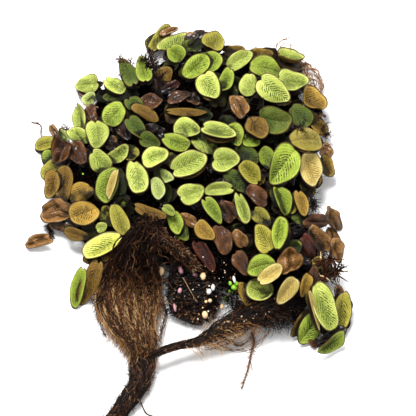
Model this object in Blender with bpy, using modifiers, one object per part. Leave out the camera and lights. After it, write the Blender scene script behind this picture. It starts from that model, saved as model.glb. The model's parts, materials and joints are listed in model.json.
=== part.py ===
"""Water spangles: a clump of a small floating fern, lifted out of the water and laid on a surface.

A flat-bottomed mat of roots carries everything. A fan of fine roots, its twisted tail, a thick strand
and a few tufts come out of it at the lower side. Older leaves have grown into the mat and are one
body with it, and the largest fifty lie over them like shingles, each one shallow, notched shell. The
layout is given as the clump is seen, from above and a little from the front, and each piece is then
lowered along that line of sight until it rests on the ones placed before it.
"""

import math
from collections import namedtuple

import bmesh
import bpy
from mathutils import Matrix, Vector, noise
from mathutils.bvhtree import BVHTree

MM = 0.001

# The layout: steps of a square grid as the clump is seen, x to the right and y down
GRID = 0.4 * MM
GRID_CENTRE = (189, 226.8)
SIGHT_ELEVATION = math.radians(68)

# The mat of roots: its middle on the grid, its height, and how far it reaches at each angle from +X, in mm
MAT_MIDDLE = (190, 186)
MAT_HEIGHT = 17 * MM
MAT_EDGE_HEIGHT = 3 * MM
MAT_UNDERCUT = 0.3
MAT_LUMP_SIZE = 13 * MM
MAT_LUMP_HEIGHT = 3.4 * MM
MAT_REACH = [
    (0, 55), (33, 59), (50, 65), (67, 62), (90, 61), (112, 54), (135, 55),
    (157, 53), (180, 54), (197, 55), (216, 52), (228, 46), (245, 40), (262, 38),
    (278, 41), (292, 53), (301, 67), (309, 76), (317, 75), (326, 68), (342, 57),
]

# The leaves: thickness, cells across and along, depth of the heart-shaped notch at the stalk
LEAF_THICKNESS = 0.8 * MM
LEAF_CELLS = (4, 4)
LEAF_NOTCH = 0.34
LEAF_NOTCH_WIDTH = 0.3
LEAF_EGG = 0.1

# How leaves lean, in degrees: all of them a little away, and more to the side the nearer the edge
LEAN_AWAY = 8
EDGE_LEAN = 17
EDGE_SPAN = 150
LEAN_CENTRE = (190, 165)

# The leaves grown into the mat: thicker, coarser, and sunk along the line of sight
OLD_LEAF_THICKNESS = 1.1 * MM
OLD_LEAF_CELLS = (2, 3)
OLD_LEAF_SINK = 2.4 * MM

# Room kept between pieces that rest on each other, and how a piece is lowered
GAP = 0.3 * MM
DROP_HEIGHT = 70 * MM
COARSE_STEP = 0.8 * MM
FINE_STEP = 0.1 * MM

COLOURS = {
    "bright": (0.42, 0.52, 0.08),
    "green": (0.25, 0.36, 0.06),
    "dark": (0.10, 0.16, 0.04),
    "olive": (0.30, 0.27, 0.07),
    "ochre": (0.42, 0.28, 0.09),
    "brown": (0.16, 0.07, 0.03),
    "tan": (0.40, 0.24, 0.12),
    "root": (0.05, 0.025, 0.015),
    "gold": (0.20, 0.12, 0.05),
}

# A loft's ring: its middle on the grid, its height above the ground, half its width and half its height
Ring = namedtuple("Ring", "x y z half_width half_height")

# A leaf: where its stalk end and its tip are seen, how wide it is seen, how it leans to the right and
# away, in degrees, how steeply it folds along its midrib, how its rim rises, and its colour
Leaf = namedtuple("Leaf", "base tip width lean fold cup colour")

TOP_LEAVES = [
    Leaf((104, 79), (125, 91), 17, (15, 5), 0.15, 0.1, "bright"),
    Leaf((101, 82), (73, 84), 17, (-20, 0), 0.1, -0.15, "olive"),
    Leaf((124, 104), (105, 125), 22, (-10, -5), 0.1, 0.1, "green"),
    Leaf((96, 118), (99, 149), 21, (-5, -15), 0.1, 0.1, "bright"),
    Leaf((135, 87), (122, 59), 17, (-15, 20), -0.15, 0.1, "dark"),
    Leaf((146, 84), (140, 56), 16, (10, 25), -0.1, 0.1, "olive"),
    Leaf((149, 49), (166, 24), 15, (-20, 15), 0.3, 0.1, "olive"),
    Leaf((160, 51), (186, 33), 17, (10, 0), 0.1, 0.2, "bright"),
    Leaf((203, 47), (223, 36), 20, (15, 15), 0.0, 0.15, "olive"),
    Leaf((184, 77), (207, 54), 21, (15, -5), 0.15, 0.1, "green"),
    Leaf((203, 71), (214, 99), 23, (5, -15), 0.1, 0.1, "bright"),
    Leaf((277, 53), (305, 55), 15, (10, 30), -0.1, 0.1, "tan"),
    Leaf((250, 64), (284, 71), 19, (5, 15), 0.1, 0.1, "green"),
    Leaf((276, 77), (308, 83), 22, (10, 5), 0.1, 0.1, "bright"),
    Leaf((257, 77), (289, 101), 24, (0, -10), 0.1, -0.1, "bright"),
    Leaf((302, 92), (326, 108), 18, (15, 0), 0.1, 0.1, "ochre"),
    Leaf((258, 117), (292, 122), 27, (0, -15), 0.1, 0.1, "green"),
    Leaf((246, 122), (268, 133), 23, (5, -10), 0.0, 0.15, "olive"),
]
LEFT_LEAVES = [
    Leaf((57, 139), (33, 147), 13, (-15, -10), -0.1, 0.1, "olive"),
    Leaf((67, 136), (54, 161), 21, (-15, -15), 0.0, 0.15, "brown"),
    Leaf((57, 170), (50, 197), 18, (-20, -10), 0.1, 0.15, "ochre"),
    Leaf((72, 206), (43, 214), 26, (-10, -15), 0.0, 0.2, "tan"),
    Leaf((99, 207), (70, 218), 25, (-10, -15), 0.1, 0.1, "ochre"),
    Leaf((114, 168), (100, 201), 23, (-10, -5), 0.3, 0.0, "green"),
    Leaf((135, 161), (140, 194), 23, (0, -10), 0.1, 0.1, "bright"),
    Leaf((142, 161), (168, 153), 21, (0, 0), 0.1, 0.1, "bright"),
    Leaf((163, 137), (190, 148), 18, (5, -20), 0.25, 0.0, "green"),
    Leaf((201, 128), (235, 135), 19, (5, -10), 0.1, 0.1, "bright"),
    Leaf((171, 173), (206, 154), 24, (5, -10), 0.3, 0.0, "bright"),
]
MIDDLE_LEAVES = [
    Leaf((211, 160), (239, 160), 25, (0, 0), 0.15, 0.05, "bright"),
    Leaf((260, 183), (240, 161), 18, (-5, -10), 0.1, 0.1, "olive"),
    Leaf((302, 151), (316, 185), 24, (20, -10), 0.1, 0.1, "ochre"),
    Leaf((290, 140), (323, 140), 25, (15, 5), 0.1, -0.1, "olive"),
    Leaf((292, 147), (274, 184), 29, (5, -5), 0.1, 0.05, "green"),
    Leaf((238, 192), (248, 224), 13, (-20, -10), 0.15, 0.1, "bright"),
]
LOWER_LEAVES = [
    Leaf((52, 237), (26, 244), 15, (0, -10), 0.25, 0.0, "tan"),
    Leaf((98, 271), (72, 308), 25, (-10, -8), 0.15, 0.1, "ochre"),
    Leaf((123, 235), (83, 257), 21, (-5, -8), 0.1, -0.1, "bright"),
    Leaf((270, 253), (257, 224), 20, (-5, 0), 0.1, 0.1, "olive"),
    Leaf((276, 248), (281, 216), 16, (5, 0), 0.1, 0.1, "green"),
    Leaf((326, 206), (339, 233), 15, (20, -5), 0.1, 0.1, "tan"),
    Leaf((334, 236), (340, 262), 15, (25, -10), 0.1, 0.1, "tan"),
    Leaf((276, 261), (247, 269), 23, (-10, -8), 0.1, 0.1, "green"),
    Leaf((288, 274), (289, 245), 23, (0, -10), 0.1, 0.1, "tan"),
    Leaf((272, 293), (247, 285), 25, (-12, -8), 0.1, 0.1, "bright"),
    Leaf((313, 267), (302, 297), 19, (5, -5), 0.3, 0.0, "brown"),
    Leaf((344, 290), (338, 331), 18, (15, -5), 0.1, 0.1, "olive"),
    Leaf((344, 331), (317, 347), 15, (8, -12), 0.1, 0.1, "green"),
    Leaf((296, 340), (319, 311), 24, (-5, -8), 0.1, -0.05, "green"),
    Leaf((315, 283), (334, 330), 24, (-8, -5), 0.25, 0.0, "bright"),
]
LEAF_GROUPS = {
    "left_leaf": LEFT_LEAVES,
    "top_leaf": TOP_LEAVES,
    "middle_leaf": MIDDLE_LEAVES,
    "lower_leaf": LOWER_LEAVES,
}

# Leaves grown into the mat: stalk end, tip, and width as seen
OLD_LEAVES = [
    ((130, 94), (104, 98), 10), ((190, 42), (206, 29), 13), ((218, 54), (202, 70), 20),
    ((230, 70), (221, 91), 14), ((150, 76), (170, 76), 16), ((143, 96), (158, 112), 14),
    ((165, 111), (207, 112), 14), ((248, 51), (273, 51), 12), ((227, 65), (251, 52), 14),
    ((291, 108), (311, 124), 18), ((311, 116), (325, 134), 15), ((66, 167), (63, 201), 16),
    ((90, 186), (71, 200), 18), ((70, 142), (84, 163), 17), ((110, 161), (127, 147), 14),
    ((92, 153), (110, 170), 18), ((118, 170), (119, 195), 17), ((174, 130), (199, 128), 18),
    ((193, 136), (217, 149), 19), ((180, 197), (202, 190), 20), ((232, 188), (206, 190), 13),
    ((129, 118), (144, 138), 15), ((226, 126), (241, 143), 17), ((226, 173), (251, 192), 16),
    ((324, 160), (334, 177), 14), ((253, 209), (268, 225), 14), ((222, 202), (234, 221), 15),
    ((280, 186), (289, 212), 14), ((298, 191), (304, 215), 11), ((115, 206), (126, 235), 15),
    ((144, 205), (179, 216), 17), ((197, 222), (212, 239), 14), ((219, 227), (226, 252), 18),
    ((235, 253), (247, 272), 15), ((255, 278), (279, 266), 14), ((298, 278), (277, 303), 17),
    ((301, 236), (312, 256), 14), ((311, 228), (328, 251), 18),
]

# Roots: lofts through rings, and thin ones as round tubes through points on the grid with a height
FAN_RINGS = [
    Ring(132, 272, 4.4, 24, 4.4),
    Ring(131, 284, 4.4, 32, 4.4),
    Ring(128, 301, 3.8, 36, 3.8),
    Ring(132, 320, 3.4, 29, 3.4),
    Ring(140, 341, 3.2, 20, 3.2),
    Ring(143, 359, 3.2, 13, 3.2),
]
TAIL_RINGS = [
    Ring(143, 362, 3.2, 12, 3.2),
    Ring(141, 380, 3.2, 11, 3.2),
    Ring(134, 395, 3.0, 12, 3.0),
    Ring(121, 410, 2.6, 10, 2.6),
    Ring(113, 422, 1.8, 7, 1.8),
    Ring(109, 427, 1.2, 3, 1.2),
]
STRAND_RINGS = [
    Ring(150, 354, 8.2, 4, 1.4),
    Ring(166, 348, 8.0, 4, 1.5),
    Ring(186, 343, 7.5, 5, 2.0),
    Ring(200, 341, 7.5, 6, 2.4),
    Ring(216, 332, 8.0, 8, 3.0),
    Ring(236, 323, 8.5, 10, 3.4),
    Ring(256, 315, 9.0, 10, 3.4),
    Ring(268, 310, 9.0, 7, 2.4),
]
TUFT_RINGS = [
    Ring(188, 284, 4.4, 18, 4.4),
    Ring(192, 293, 4.6, 25, 4.6),
    Ring(196, 302, 4.2, 27, 4.2),
    Ring(196, 312, 3.2, 24, 3.2),
    Ring(192, 322, 2.0, 12, 2.0),
]
SPRIG_POINTS = [
    (251, 331, 2.0), (254, 340, 1.0), (251, 351, 0.8), (249, 361, 0.8), (246, 373, 0.8), (241, 388, 0.8),
]
LOOP_POINTS = [
    (299, 66, 9), (307, 66, 10), (315, 70, 11), (321, 78, 11), (322, 89, 10), (316, 97, 9),
]
TOP_STEM_POINTS = [(147, 48, 9), (150, 55, 10), (152, 63, 11), (154, 74, 12), (155, 86, 12)]
LEFT_STEM_POINTS = [(47, 225, 1.2), (49, 229, 1.2), (51, 233, 1.0), (53, 237, 0.9)]

STAR_CENTRE = (328, 268, 5)
STAR_RADIUS = 2.5 * MM
STAR_SPIKE = 2.4


def clear_scene():
    """Remove every object that the file starts with."""
    for thing in list(bpy.data.objects):
        bpy.data.objects.remove(thing, do_unlink=True)


def sight_axes():
    """Right, up and towards the eye, as the clump is seen."""
    right = Vector((1, 0, 0))
    up = Vector((0, math.sin(SIGHT_ELEVATION), math.cos(SIGHT_ELEVATION)))
    return right, up, right.cross(up)


RIGHT, UP, TO_EYE = sight_axes()


def on_grid(x, y, height_mm):
    """The point seen at a grid place that lies at a height above the ground."""
    height = height_mm * MM
    across = (x - GRID_CENTRE[0]) * GRID
    seen_up = (GRID_CENTRE[1] - y) * GRID
    return Vector((across, (seen_up - height * UP.z) / UP.y, height))


def material_for(name, colour):
    """A matt, slightly moist plant surface in one colour."""
    material = bpy.data.materials.new(name)
    material.use_nodes = True
    shader = material.node_tree.nodes["Principled BSDF"]
    shader.inputs["Base Color"].default_value = (*COLOURS[colour], 1)
    shader.inputs["Roughness"].default_value = 0.55
    shader.inputs["Metallic"].default_value = 0.0
    return material


def add_piece(name, mesh, colour, collection):
    """Make one named piece with its own material."""
    piece = bpy.data.objects.new(name, mesh)
    mesh.materials.append(material_for(name, colour))
    collection.objects.link(piece)
    return piece


def mesh_from(bm, name):
    """Turn a finished bmesh into a mesh with its faces pointing out."""
    bmesh.ops.recalc_face_normals(bm, faces=bm.faces)
    mesh = bpy.data.meshes.new(name)
    bm.to_mesh(mesh)
    bm.free()
    return mesh


def mat_reach(angle):
    """How far the mat reaches at an angle: eased between the listed angles, all the way round."""
    degrees = math.degrees(angle) % 360
    turns = MAT_REACH + [(MAT_REACH[0][0] + 360, MAT_REACH[0][1])]
    for (low, near), (high, far) in zip(turns, turns[1:]):
        if degrees <= high:
            part = (degrees - low) / (high - low)
            ease = part * part * (3 - 2 * part)
            return (near + (far - near) * ease) * MM
    return turns[-1][1] * MM


def make_mat(collection):
    """The root mat: a ball pressed flat below, drawn out to its outline and raised in lumps."""
    bm = bmesh.new()
    bmesh.ops.create_icosphere(bm, subdivisions=4, radius=1)
    for vert in bm.verts:
        place = vert.co.copy()
        reach = mat_reach(math.atan2(place.y, place.x))
        spot = Vector((place.x * reach, place.y * reach, 0)) + on_grid(*MAT_MIDDLE, 0)
        lump = noise.noise(spot / MAT_LUMP_SIZE) * MAT_LUMP_HEIGHT
        if place.z >= 0:
            spot.z = MAT_EDGE_HEIGHT + MAT_HEIGHT * place.z + lump * place.z * 2
        else:
            spot.z = max(0.0, MAT_EDGE_HEIGHT * (1 + place.z / MAT_UNDERCUT))
        vert.co = spot
    flat = [vert for vert in bm.verts if all(edge.other_vert(vert).co.z == 0 for edge in vert.link_edges)]
    bmesh.ops.dissolve_verts(bm, verts=[vert for vert in flat if vert.co.z == 0])
    return add_piece("root_mat", mesh_from(bm, "root_mat"), "root", collection)


def smooth_rings(rings, steps):
    """Rings in between the given ones, on a smooth curve through all of them."""
    finer = []
    for index in range(len(rings) - 1):
        before = rings[max(index - 1, 0)]
        start, end = rings[index], rings[index + 1]
        after = rings[min(index + 2, len(rings) - 1)]
        for step in range(steps):
            part = step / steps
            finer.append(Ring(*(through_points(p, part) for p in zip(before, start, end, after))))
    finer.append(rings[-1])
    return finer


def through_points(four, part):
    """A smooth curve through the middle two of four values, at a part of the way between them."""
    before, start, end, after = four
    return 0.5 * (
        2 * start
        + (end - before) * part
        + (2 * before - 5 * start + 4 * end - after) * part ** 2
        + (3 * start - before - 3 * end + after) * part ** 3
    )


def make_loft(name, rings, sides, locks, twist, depth, colour, collection):
    """A root bundle: closed rings along a path, each an ellipse whose edge rises in locks.

    The locks turn by twist along the bundle, and what would lie below the ground is pressed flat.
    """
    bm = bmesh.new()
    loops = []
    for index, ring in enumerate(rings):
        ahead = rings[min(index + 1, len(rings) - 1)]
        behind = rings[max(index - 1, 0)]
        middle = on_grid(ring.x, ring.y, ring.z)
        along = (on_grid(ahead.x, ahead.y, ahead.z) - on_grid(behind.x, behind.y, behind.z)).normalized()
        across = along.cross(Vector((0, 0, 1))).normalized()
        upward = across.cross(along)
        turn = twist * index / (len(rings) - 1)
        loop = []
        for side in range(sides):
            angle = math.tau * side / sides
            swell = 1 + depth * math.cos(locks * angle + turn)
            point = middle + across * (math.cos(angle) * ring.half_width * GRID * swell)
            point = point + upward * (math.sin(angle) * ring.half_height * MM * swell)
            point.z = max(point.z, 0.0)
            loop.append(bm.verts.new(point))
        loops.append(loop)
    for near, far in zip(loops, loops[1:]):
        for side in range(sides):
            following = (side + 1) % sides
            bm.faces.new((near[side], near[following], far[following], far[side]))
    bm.faces.new(loops[0])
    bm.faces.new(loops[-1])
    bmesh.ops.triangulate(bm, faces=[face for face in bm.faces if len(face.verts) > 4])
    return add_piece(name, mesh_from(bm, name), colour, collection)


def make_tube(name, points, radius_mm, colour, collection):
    """A single root or stem: a round tube through grid points, with closed ends."""
    curve = bpy.data.curves.new(name, "CURVE")
    curve.dimensions = "3D"
    curve.bevel_depth = radius_mm * MM
    curve.bevel_resolution = 1
    curve.use_fill_caps = True
    spline = curve.splines.new("POLY")
    spline.points.add(len(points) - 1)
    for point, place in zip(spline.points, points):
        point.co = (*on_grid(*place), 1)
    drawn = bpy.data.objects.new(name + "_line", curve)
    collection.objects.link(drawn)
    bpy.context.view_layer.update()
    shaped = drawn.evaluated_get(bpy.context.evaluated_depsgraph_get())
    mesh = bpy.data.meshes.new_from_object(shaped)
    bpy.data.objects.remove(drawn, do_unlink=True)
    bm = bmesh.new()
    bm.from_mesh(mesh)
    bpy.data.meshes.remove(mesh)
    bmesh.ops.remove_doubles(bm, verts=bm.verts, dist=0.01 * MM)
    return add_piece(name, mesh_from(bm, name), colour, collection)


def make_star(collection):
    """The spiky tuft: a ball on which every corner of the first division is drawn out to a point."""
    bm = bmesh.new()
    bmesh.ops.create_icosphere(bm, subdivisions=2, radius=STAR_RADIUS)
    middle = on_grid(*STAR_CENTRE)
    for vert in bm.verts:
        spike = STAR_SPIKE if len(vert.link_edges) == 5 else 1.0
        vert.co = vert.co * spike + middle
        vert.co.z = max(vert.co.z, 0.0)
    return add_piece("star_tuft", mesh_from(bm, "star_tuft"), "brown", collection)


def leaf_frame(leaf):
    """Where a leaf's stalk end is and which ways it runs, from how it is seen and how it leans.

    Its blade lies in the plane square to its normal, its length runs so that it is seen from base to
    tip as listed, and its real width is what makes it look as wide as listed.
    """
    base = on_grid(*leaf.base, 0)
    seen = (leaf.tip[0] - leaf.base[0]) * GRID * RIGHT + (leaf.base[1] - leaf.tip[1]) * GRID * UP
    seen_way = seen.normalized()
    middle = ((leaf.base[0] + leaf.tip[0]) / 2, (leaf.base[1] + leaf.tip[1]) / 2)
    lean_right = leaf.lean[0] + EDGE_LEAN * (middle[0] - LEAN_CENTRE[0]) / EDGE_SPAN
    lean_away = leaf.lean[1] + EDGE_LEAN * (LEAN_CENTRE[1] - middle[1]) / EDGE_SPAN + LEAN_AWAY
    normal = TO_EYE + RIGHT * math.tan(math.radians(lean_right)) + UP * math.tan(math.radians(lean_away))
    normal.normalize()
    slope = -seen_way.dot(normal) / TO_EYE.dot(normal)
    along = seen_way + TO_EYE * slope
    length = seen.length * along.length
    along.normalize()
    across = along.cross(normal)
    seen_across = seen_way.cross(TO_EYE)
    width = leaf.width * GRID / abs(across.dot(seen_across))
    return base, along, across, normal, length, width


def make_leaf(name, leaf, collection, cells=LEAF_CELLS, thickness=LEAF_THICKNESS):
    """One leaf: a square grid rounded to a disc, drawn to an egg with a notch at its stalk.

    Its height above its plane is a fold, rising with the distance from the midrib, and a cup, rising
    with the square of the distance from the middle.
    """
    base, along, across, normal, length, width = leaf_frame(leaf)
    bm = bmesh.new()
    bmesh.ops.create_grid(bm, x_segments=cells[0], y_segments=cells[1], size=1)
    for vert in bm.verts:
        u, v = vert.co.x, vert.co.y
        x = u * math.sqrt(1 - v * v / 2)
        y = v * math.sqrt(1 - u * u / 2)
        notch = LEAF_NOTCH * math.exp(-((x / LEAF_NOTCH_WIDTH) ** 2)) * max(0.0, -y) ** 2
        height = leaf.fold * abs(x) + leaf.cup * (x * x + y * y)
        vert.co = (
            x * (1 - LEAF_EGG * y) * width / 2,
            (1 + y + notch) * length / 2,
            height * width / 2,
        )
    piece = add_piece(name, mesh_from(bm, name), leaf.colour, collection)
    piece.matrix_world = Matrix.Translation(base) @ Matrix((across, along, normal)).transposed().to_4x4()
    shell = piece.modifiers.new("thickness", "SOLIDIFY")
    shell.thickness = thickness
    shell.offset = 0
    return piece


def world_shape(piece):
    """A piece's evaluated corners in the world, and its faces."""
    bpy.context.view_layer.update()
    shaped = piece.evaluated_get(bpy.context.evaluated_depsgraph_get())
    mesh = shaped.to_mesh()
    corners = [piece.matrix_world @ vert.co for vert in mesh.vertices]
    faces = [tuple(face.vertices) for face in mesh.polygons]
    shaped.to_mesh_clear()
    return corners, faces


def swollen_shape(piece):
    """The same for a piece grown by the gap on all sides, to test how close it may come."""
    shell = piece.modifiers.get("thickness")
    if shell:
        shell.thickness += 2 * GAP
    corners, faces = world_shape(piece)
    if shell:
        shell.thickness -= 2 * GAP
    middle = sum(corners, Vector()) / len(corners)
    reach = max((corner - middle).length for corner in corners)
    growth = 1 + GAP / reach
    return [middle + (corner - middle) * growth for corner in corners], faces


def lower_onto(piece, placed):
    """Lower a piece along the line of sight until it rests on the ground or on what lies below it."""
    corners, faces = swollen_shape(piece)

    def is_free(lift):
        moved = [corner + TO_EYE * lift for corner in corners]
        if min(corner.z for corner in moved) < 0:
            return False
        tree = BVHTree.FromPolygons(moved, faces)
        return not any(tree.overlap(other) for other in placed)

    lift = DROP_HEIGHT
    for step in (COARSE_STEP, FINE_STEP):
        while is_free(lift - step):
            lift -= step
    piece.location = piece.location + TO_EYE * lift


def tree_of(piece):
    """A search tree of a piece's faces where it lies."""
    return BVHTree.FromPolygons(*world_shape(piece))


def grow_into(mat, collection):
    """Sink the old leaves into the mat and make them one body with it."""
    ground = [tree_of(mat)]
    for number, (base, tip, width) in enumerate(OLD_LEAVES, 1):
        fold = 0.15 * (number % 3 - 1)
        leaf = Leaf(base, tip, width, (6 * (number % 5 - 2), 5 * (number % 4 - 2)), fold, 0.1, "brown")
        grown = make_leaf(f"old_leaf_{number:02d}", leaf, collection, OLD_LEAF_CELLS, OLD_LEAF_THICKNESS)
        lower_onto(grown, ground)
        grown.location = grown.location - TO_EYE * OLD_LEAF_SINK
        grown.hide_render = True
        grown.display_type = "WIRE"
    join = mat.modifiers.new("old leaves", "BOOLEAN")
    join.operation = "UNION"
    join.operand_type = "COLLECTION"
    join.collection = collection
    join.solver = "EXACT"


def make_roots(collection):
    """All roots and stems but the mat, those below first."""
    fan = make_loft("root_fan", smooth_rings(FAN_RINGS, 2), 20, 10, 0.0, 0.07, "gold", collection)
    tail = make_loft("root_tail", smooth_rings(TAIL_RINGS, 2), 12, 3, 7.0, 0.2, "root", collection)
    tuft = make_loft("root_tuft", smooth_rings(TUFT_RINGS, 2), 16, 5, 2.0, 0.1, "root", collection)
    strand = make_loft("root_strand", smooth_rings(STRAND_RINGS, 2), 8, 3, 6.0, 0.12, "root", collection)
    sprig = make_tube("root_sprig", SPRIG_POINTS, 0.8, "root", collection)
    star = make_star(collection)
    loop = make_tube("hairy_loop", LOOP_POINTS, 1.2, "brown", collection)
    top_stem = make_tube("top_stem", TOP_STEM_POINTS, 0.7, "root", collection)
    left_stem = make_tube("left_stem", LEFT_STEM_POINTS, 0.8, "root", collection)
    return [fan, tail, tuft, sprig, strand, star, loop, top_stem, left_stem]


def main():
    """Build the clump: the mat, then the roots and the leaves lowered onto it one by one."""
    clear_scene()
    collection = bpy.data.collections.new("water_spangles")
    bpy.context.scene.collection.children.link(collection)
    grown_in = bpy.data.collections.new("grown_into_the_mat")
    bpy.context.scene.collection.children.link(grown_in)
    mat = make_mat(collection)
    grow_into(mat, grown_in)
    placed = [tree_of(mat)]
    for piece in make_roots(collection):
        lower_onto(piece, placed)
        placed.append(tree_of(piece))
    for group, leaves in LEAF_GROUPS.items():
        for number, leaf in enumerate(leaves, 1):
            piece = make_leaf(f"{group}_{number:02d}", leaf, collection)
            lower_onto(piece, placed)
            placed.append(tree_of(piece))


main()
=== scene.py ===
"""Looks for a clump of water spangles: a small floating fern, lifted out and laid on a pale surface.

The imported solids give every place. The leaves are thin notched blades worked out on a grid, the roots
are thousands of tapered hairs carried along a few guides, and all of it is laid out as the clump is
seen, from above and a little from the front.
"""

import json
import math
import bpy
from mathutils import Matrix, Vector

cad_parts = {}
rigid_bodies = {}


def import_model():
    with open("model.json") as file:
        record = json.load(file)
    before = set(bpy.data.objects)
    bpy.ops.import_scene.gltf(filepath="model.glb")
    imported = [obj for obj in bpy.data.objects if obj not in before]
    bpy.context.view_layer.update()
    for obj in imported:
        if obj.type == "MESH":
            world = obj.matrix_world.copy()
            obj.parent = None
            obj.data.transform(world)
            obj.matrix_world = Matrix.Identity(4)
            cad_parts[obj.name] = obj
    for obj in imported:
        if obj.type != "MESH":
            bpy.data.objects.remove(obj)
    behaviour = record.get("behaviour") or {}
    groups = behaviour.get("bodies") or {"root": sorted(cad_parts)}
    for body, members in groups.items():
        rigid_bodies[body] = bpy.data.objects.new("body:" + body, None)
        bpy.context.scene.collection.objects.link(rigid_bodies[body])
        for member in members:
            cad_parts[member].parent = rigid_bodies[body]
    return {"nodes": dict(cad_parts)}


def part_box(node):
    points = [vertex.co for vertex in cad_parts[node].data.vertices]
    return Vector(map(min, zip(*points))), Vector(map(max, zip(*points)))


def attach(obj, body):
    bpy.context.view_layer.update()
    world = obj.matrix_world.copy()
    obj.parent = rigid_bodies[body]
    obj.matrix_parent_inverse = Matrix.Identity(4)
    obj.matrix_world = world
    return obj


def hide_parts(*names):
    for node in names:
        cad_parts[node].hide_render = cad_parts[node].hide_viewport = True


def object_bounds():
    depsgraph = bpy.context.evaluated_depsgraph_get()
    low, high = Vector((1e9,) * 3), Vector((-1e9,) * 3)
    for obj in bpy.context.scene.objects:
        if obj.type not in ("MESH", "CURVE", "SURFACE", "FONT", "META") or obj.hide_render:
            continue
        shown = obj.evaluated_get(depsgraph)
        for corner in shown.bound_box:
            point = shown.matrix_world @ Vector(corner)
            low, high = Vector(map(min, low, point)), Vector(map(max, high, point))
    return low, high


bl_info = {
    "name": "Water spangles clump",
    "version": (1, 0, 0),
    "blender": (4, 5, 0),
    "location": "View3D > Sidebar > Spangles",
    "description": "Builds the leaves, roots and caught grains of a clump of floating fern",
    "category": "Add Mesh",
}

from collections import namedtuple

import bpy
import numpy as np
from bpy.props import FloatProperty, IntProperty, PointerProperty
from mathutils import Vector
from mathutils.bvhtree import BVHTree
from numpy.random import default_rng

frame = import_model()
CAD_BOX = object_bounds()

MM = 0.001
BODY = "root"
SEED = 20

# The layout: steps of a square grid as the clump is seen, x to the right and y down
GRID = 0.4 * MM
GRID_CENTRE = (189, 226.8)
GRID_SIZE = 416
SIGHT = math.radians(68)
RIGHT = np.array((1.0, 0.0, 0.0))
UP = np.array((0.0, math.sin(SIGHT), math.cos(SIGHT)))
TO_EYE = np.cross(RIGHT, UP)
HIGHEST = CAD_BOX[1].z + 0.6 * MM

# How leaves lean, in degrees: all of them a little away, and more to the side the nearer the edge
LEAN_AWAY = 8
EDGE_LEAN = 17
EDGE_SPAN = 150
LEAN_CENTRE = (190, 165)

# A leaf's outline: how far it is an egg, and its notch at the stalk
EGG = 0.1
NOTCH = 0.2
NOTCH_WIDTH = 0.16
# From this cup on a leaf is a bowl, and its rim stays where the solid has it
DEEP_CUP = 0.35
# Coarse leaves that are let down to find where a leaf lies: from where and in which steps, how far
# down others are looked for, how far leaves keep apart, and how low a leaf may lie
PROBE_CELLS = 6
PROBE_THICKNESS = 0.8 * MM
LEAF_GAP = 0.4 * MM
LEAF_LOWEST = 0.12 * MM
DEEPEST_LOOK = 30 * MM
LET_DOWN_FROM = 45 * MM
LET_DOWN_STEPS = (1.0 * MM, 0.2 * MM)
# How far over a leaf a hair still counts as passing close
HAIR_CLEARANCE = 9 * MM
# Painted shade, for lying low under other leaves: of the leaves between, and of the lower sides that are
# listed in BELLIES and that aren't
BETWEEN_SHADE = 0.8
BELLY_SHADE = 0.9
HIDDEN_BELLY_SHADE = 2.6
# How painted shade darkens points that other leaves hide: how near those are, what share of them counts, how
# strongly, and how far at most on large leaves and on the others
HIDING_REACH = 8 * MM
HIDING_START = 0.08
HIDING_GAIN = 9.0
HIDING_MOST_LARGE = 1.7
HIDING_MOST = 4.0

# A leaf: stalk end and tip as seen, width as seen, kind, lean to the right and away in degrees, fold
# along the midrib, rise of the rim, then how far its section is bent and rolled, in degrees
LEAF_USUAL = (0, 0, 0.1, 0.1, 0, 0)
Leaf = namedtuple("Leaf", "x0 y0 x1 y1 width kind right away fold cup bend roll", defaults=LEAF_USUAL)

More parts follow.
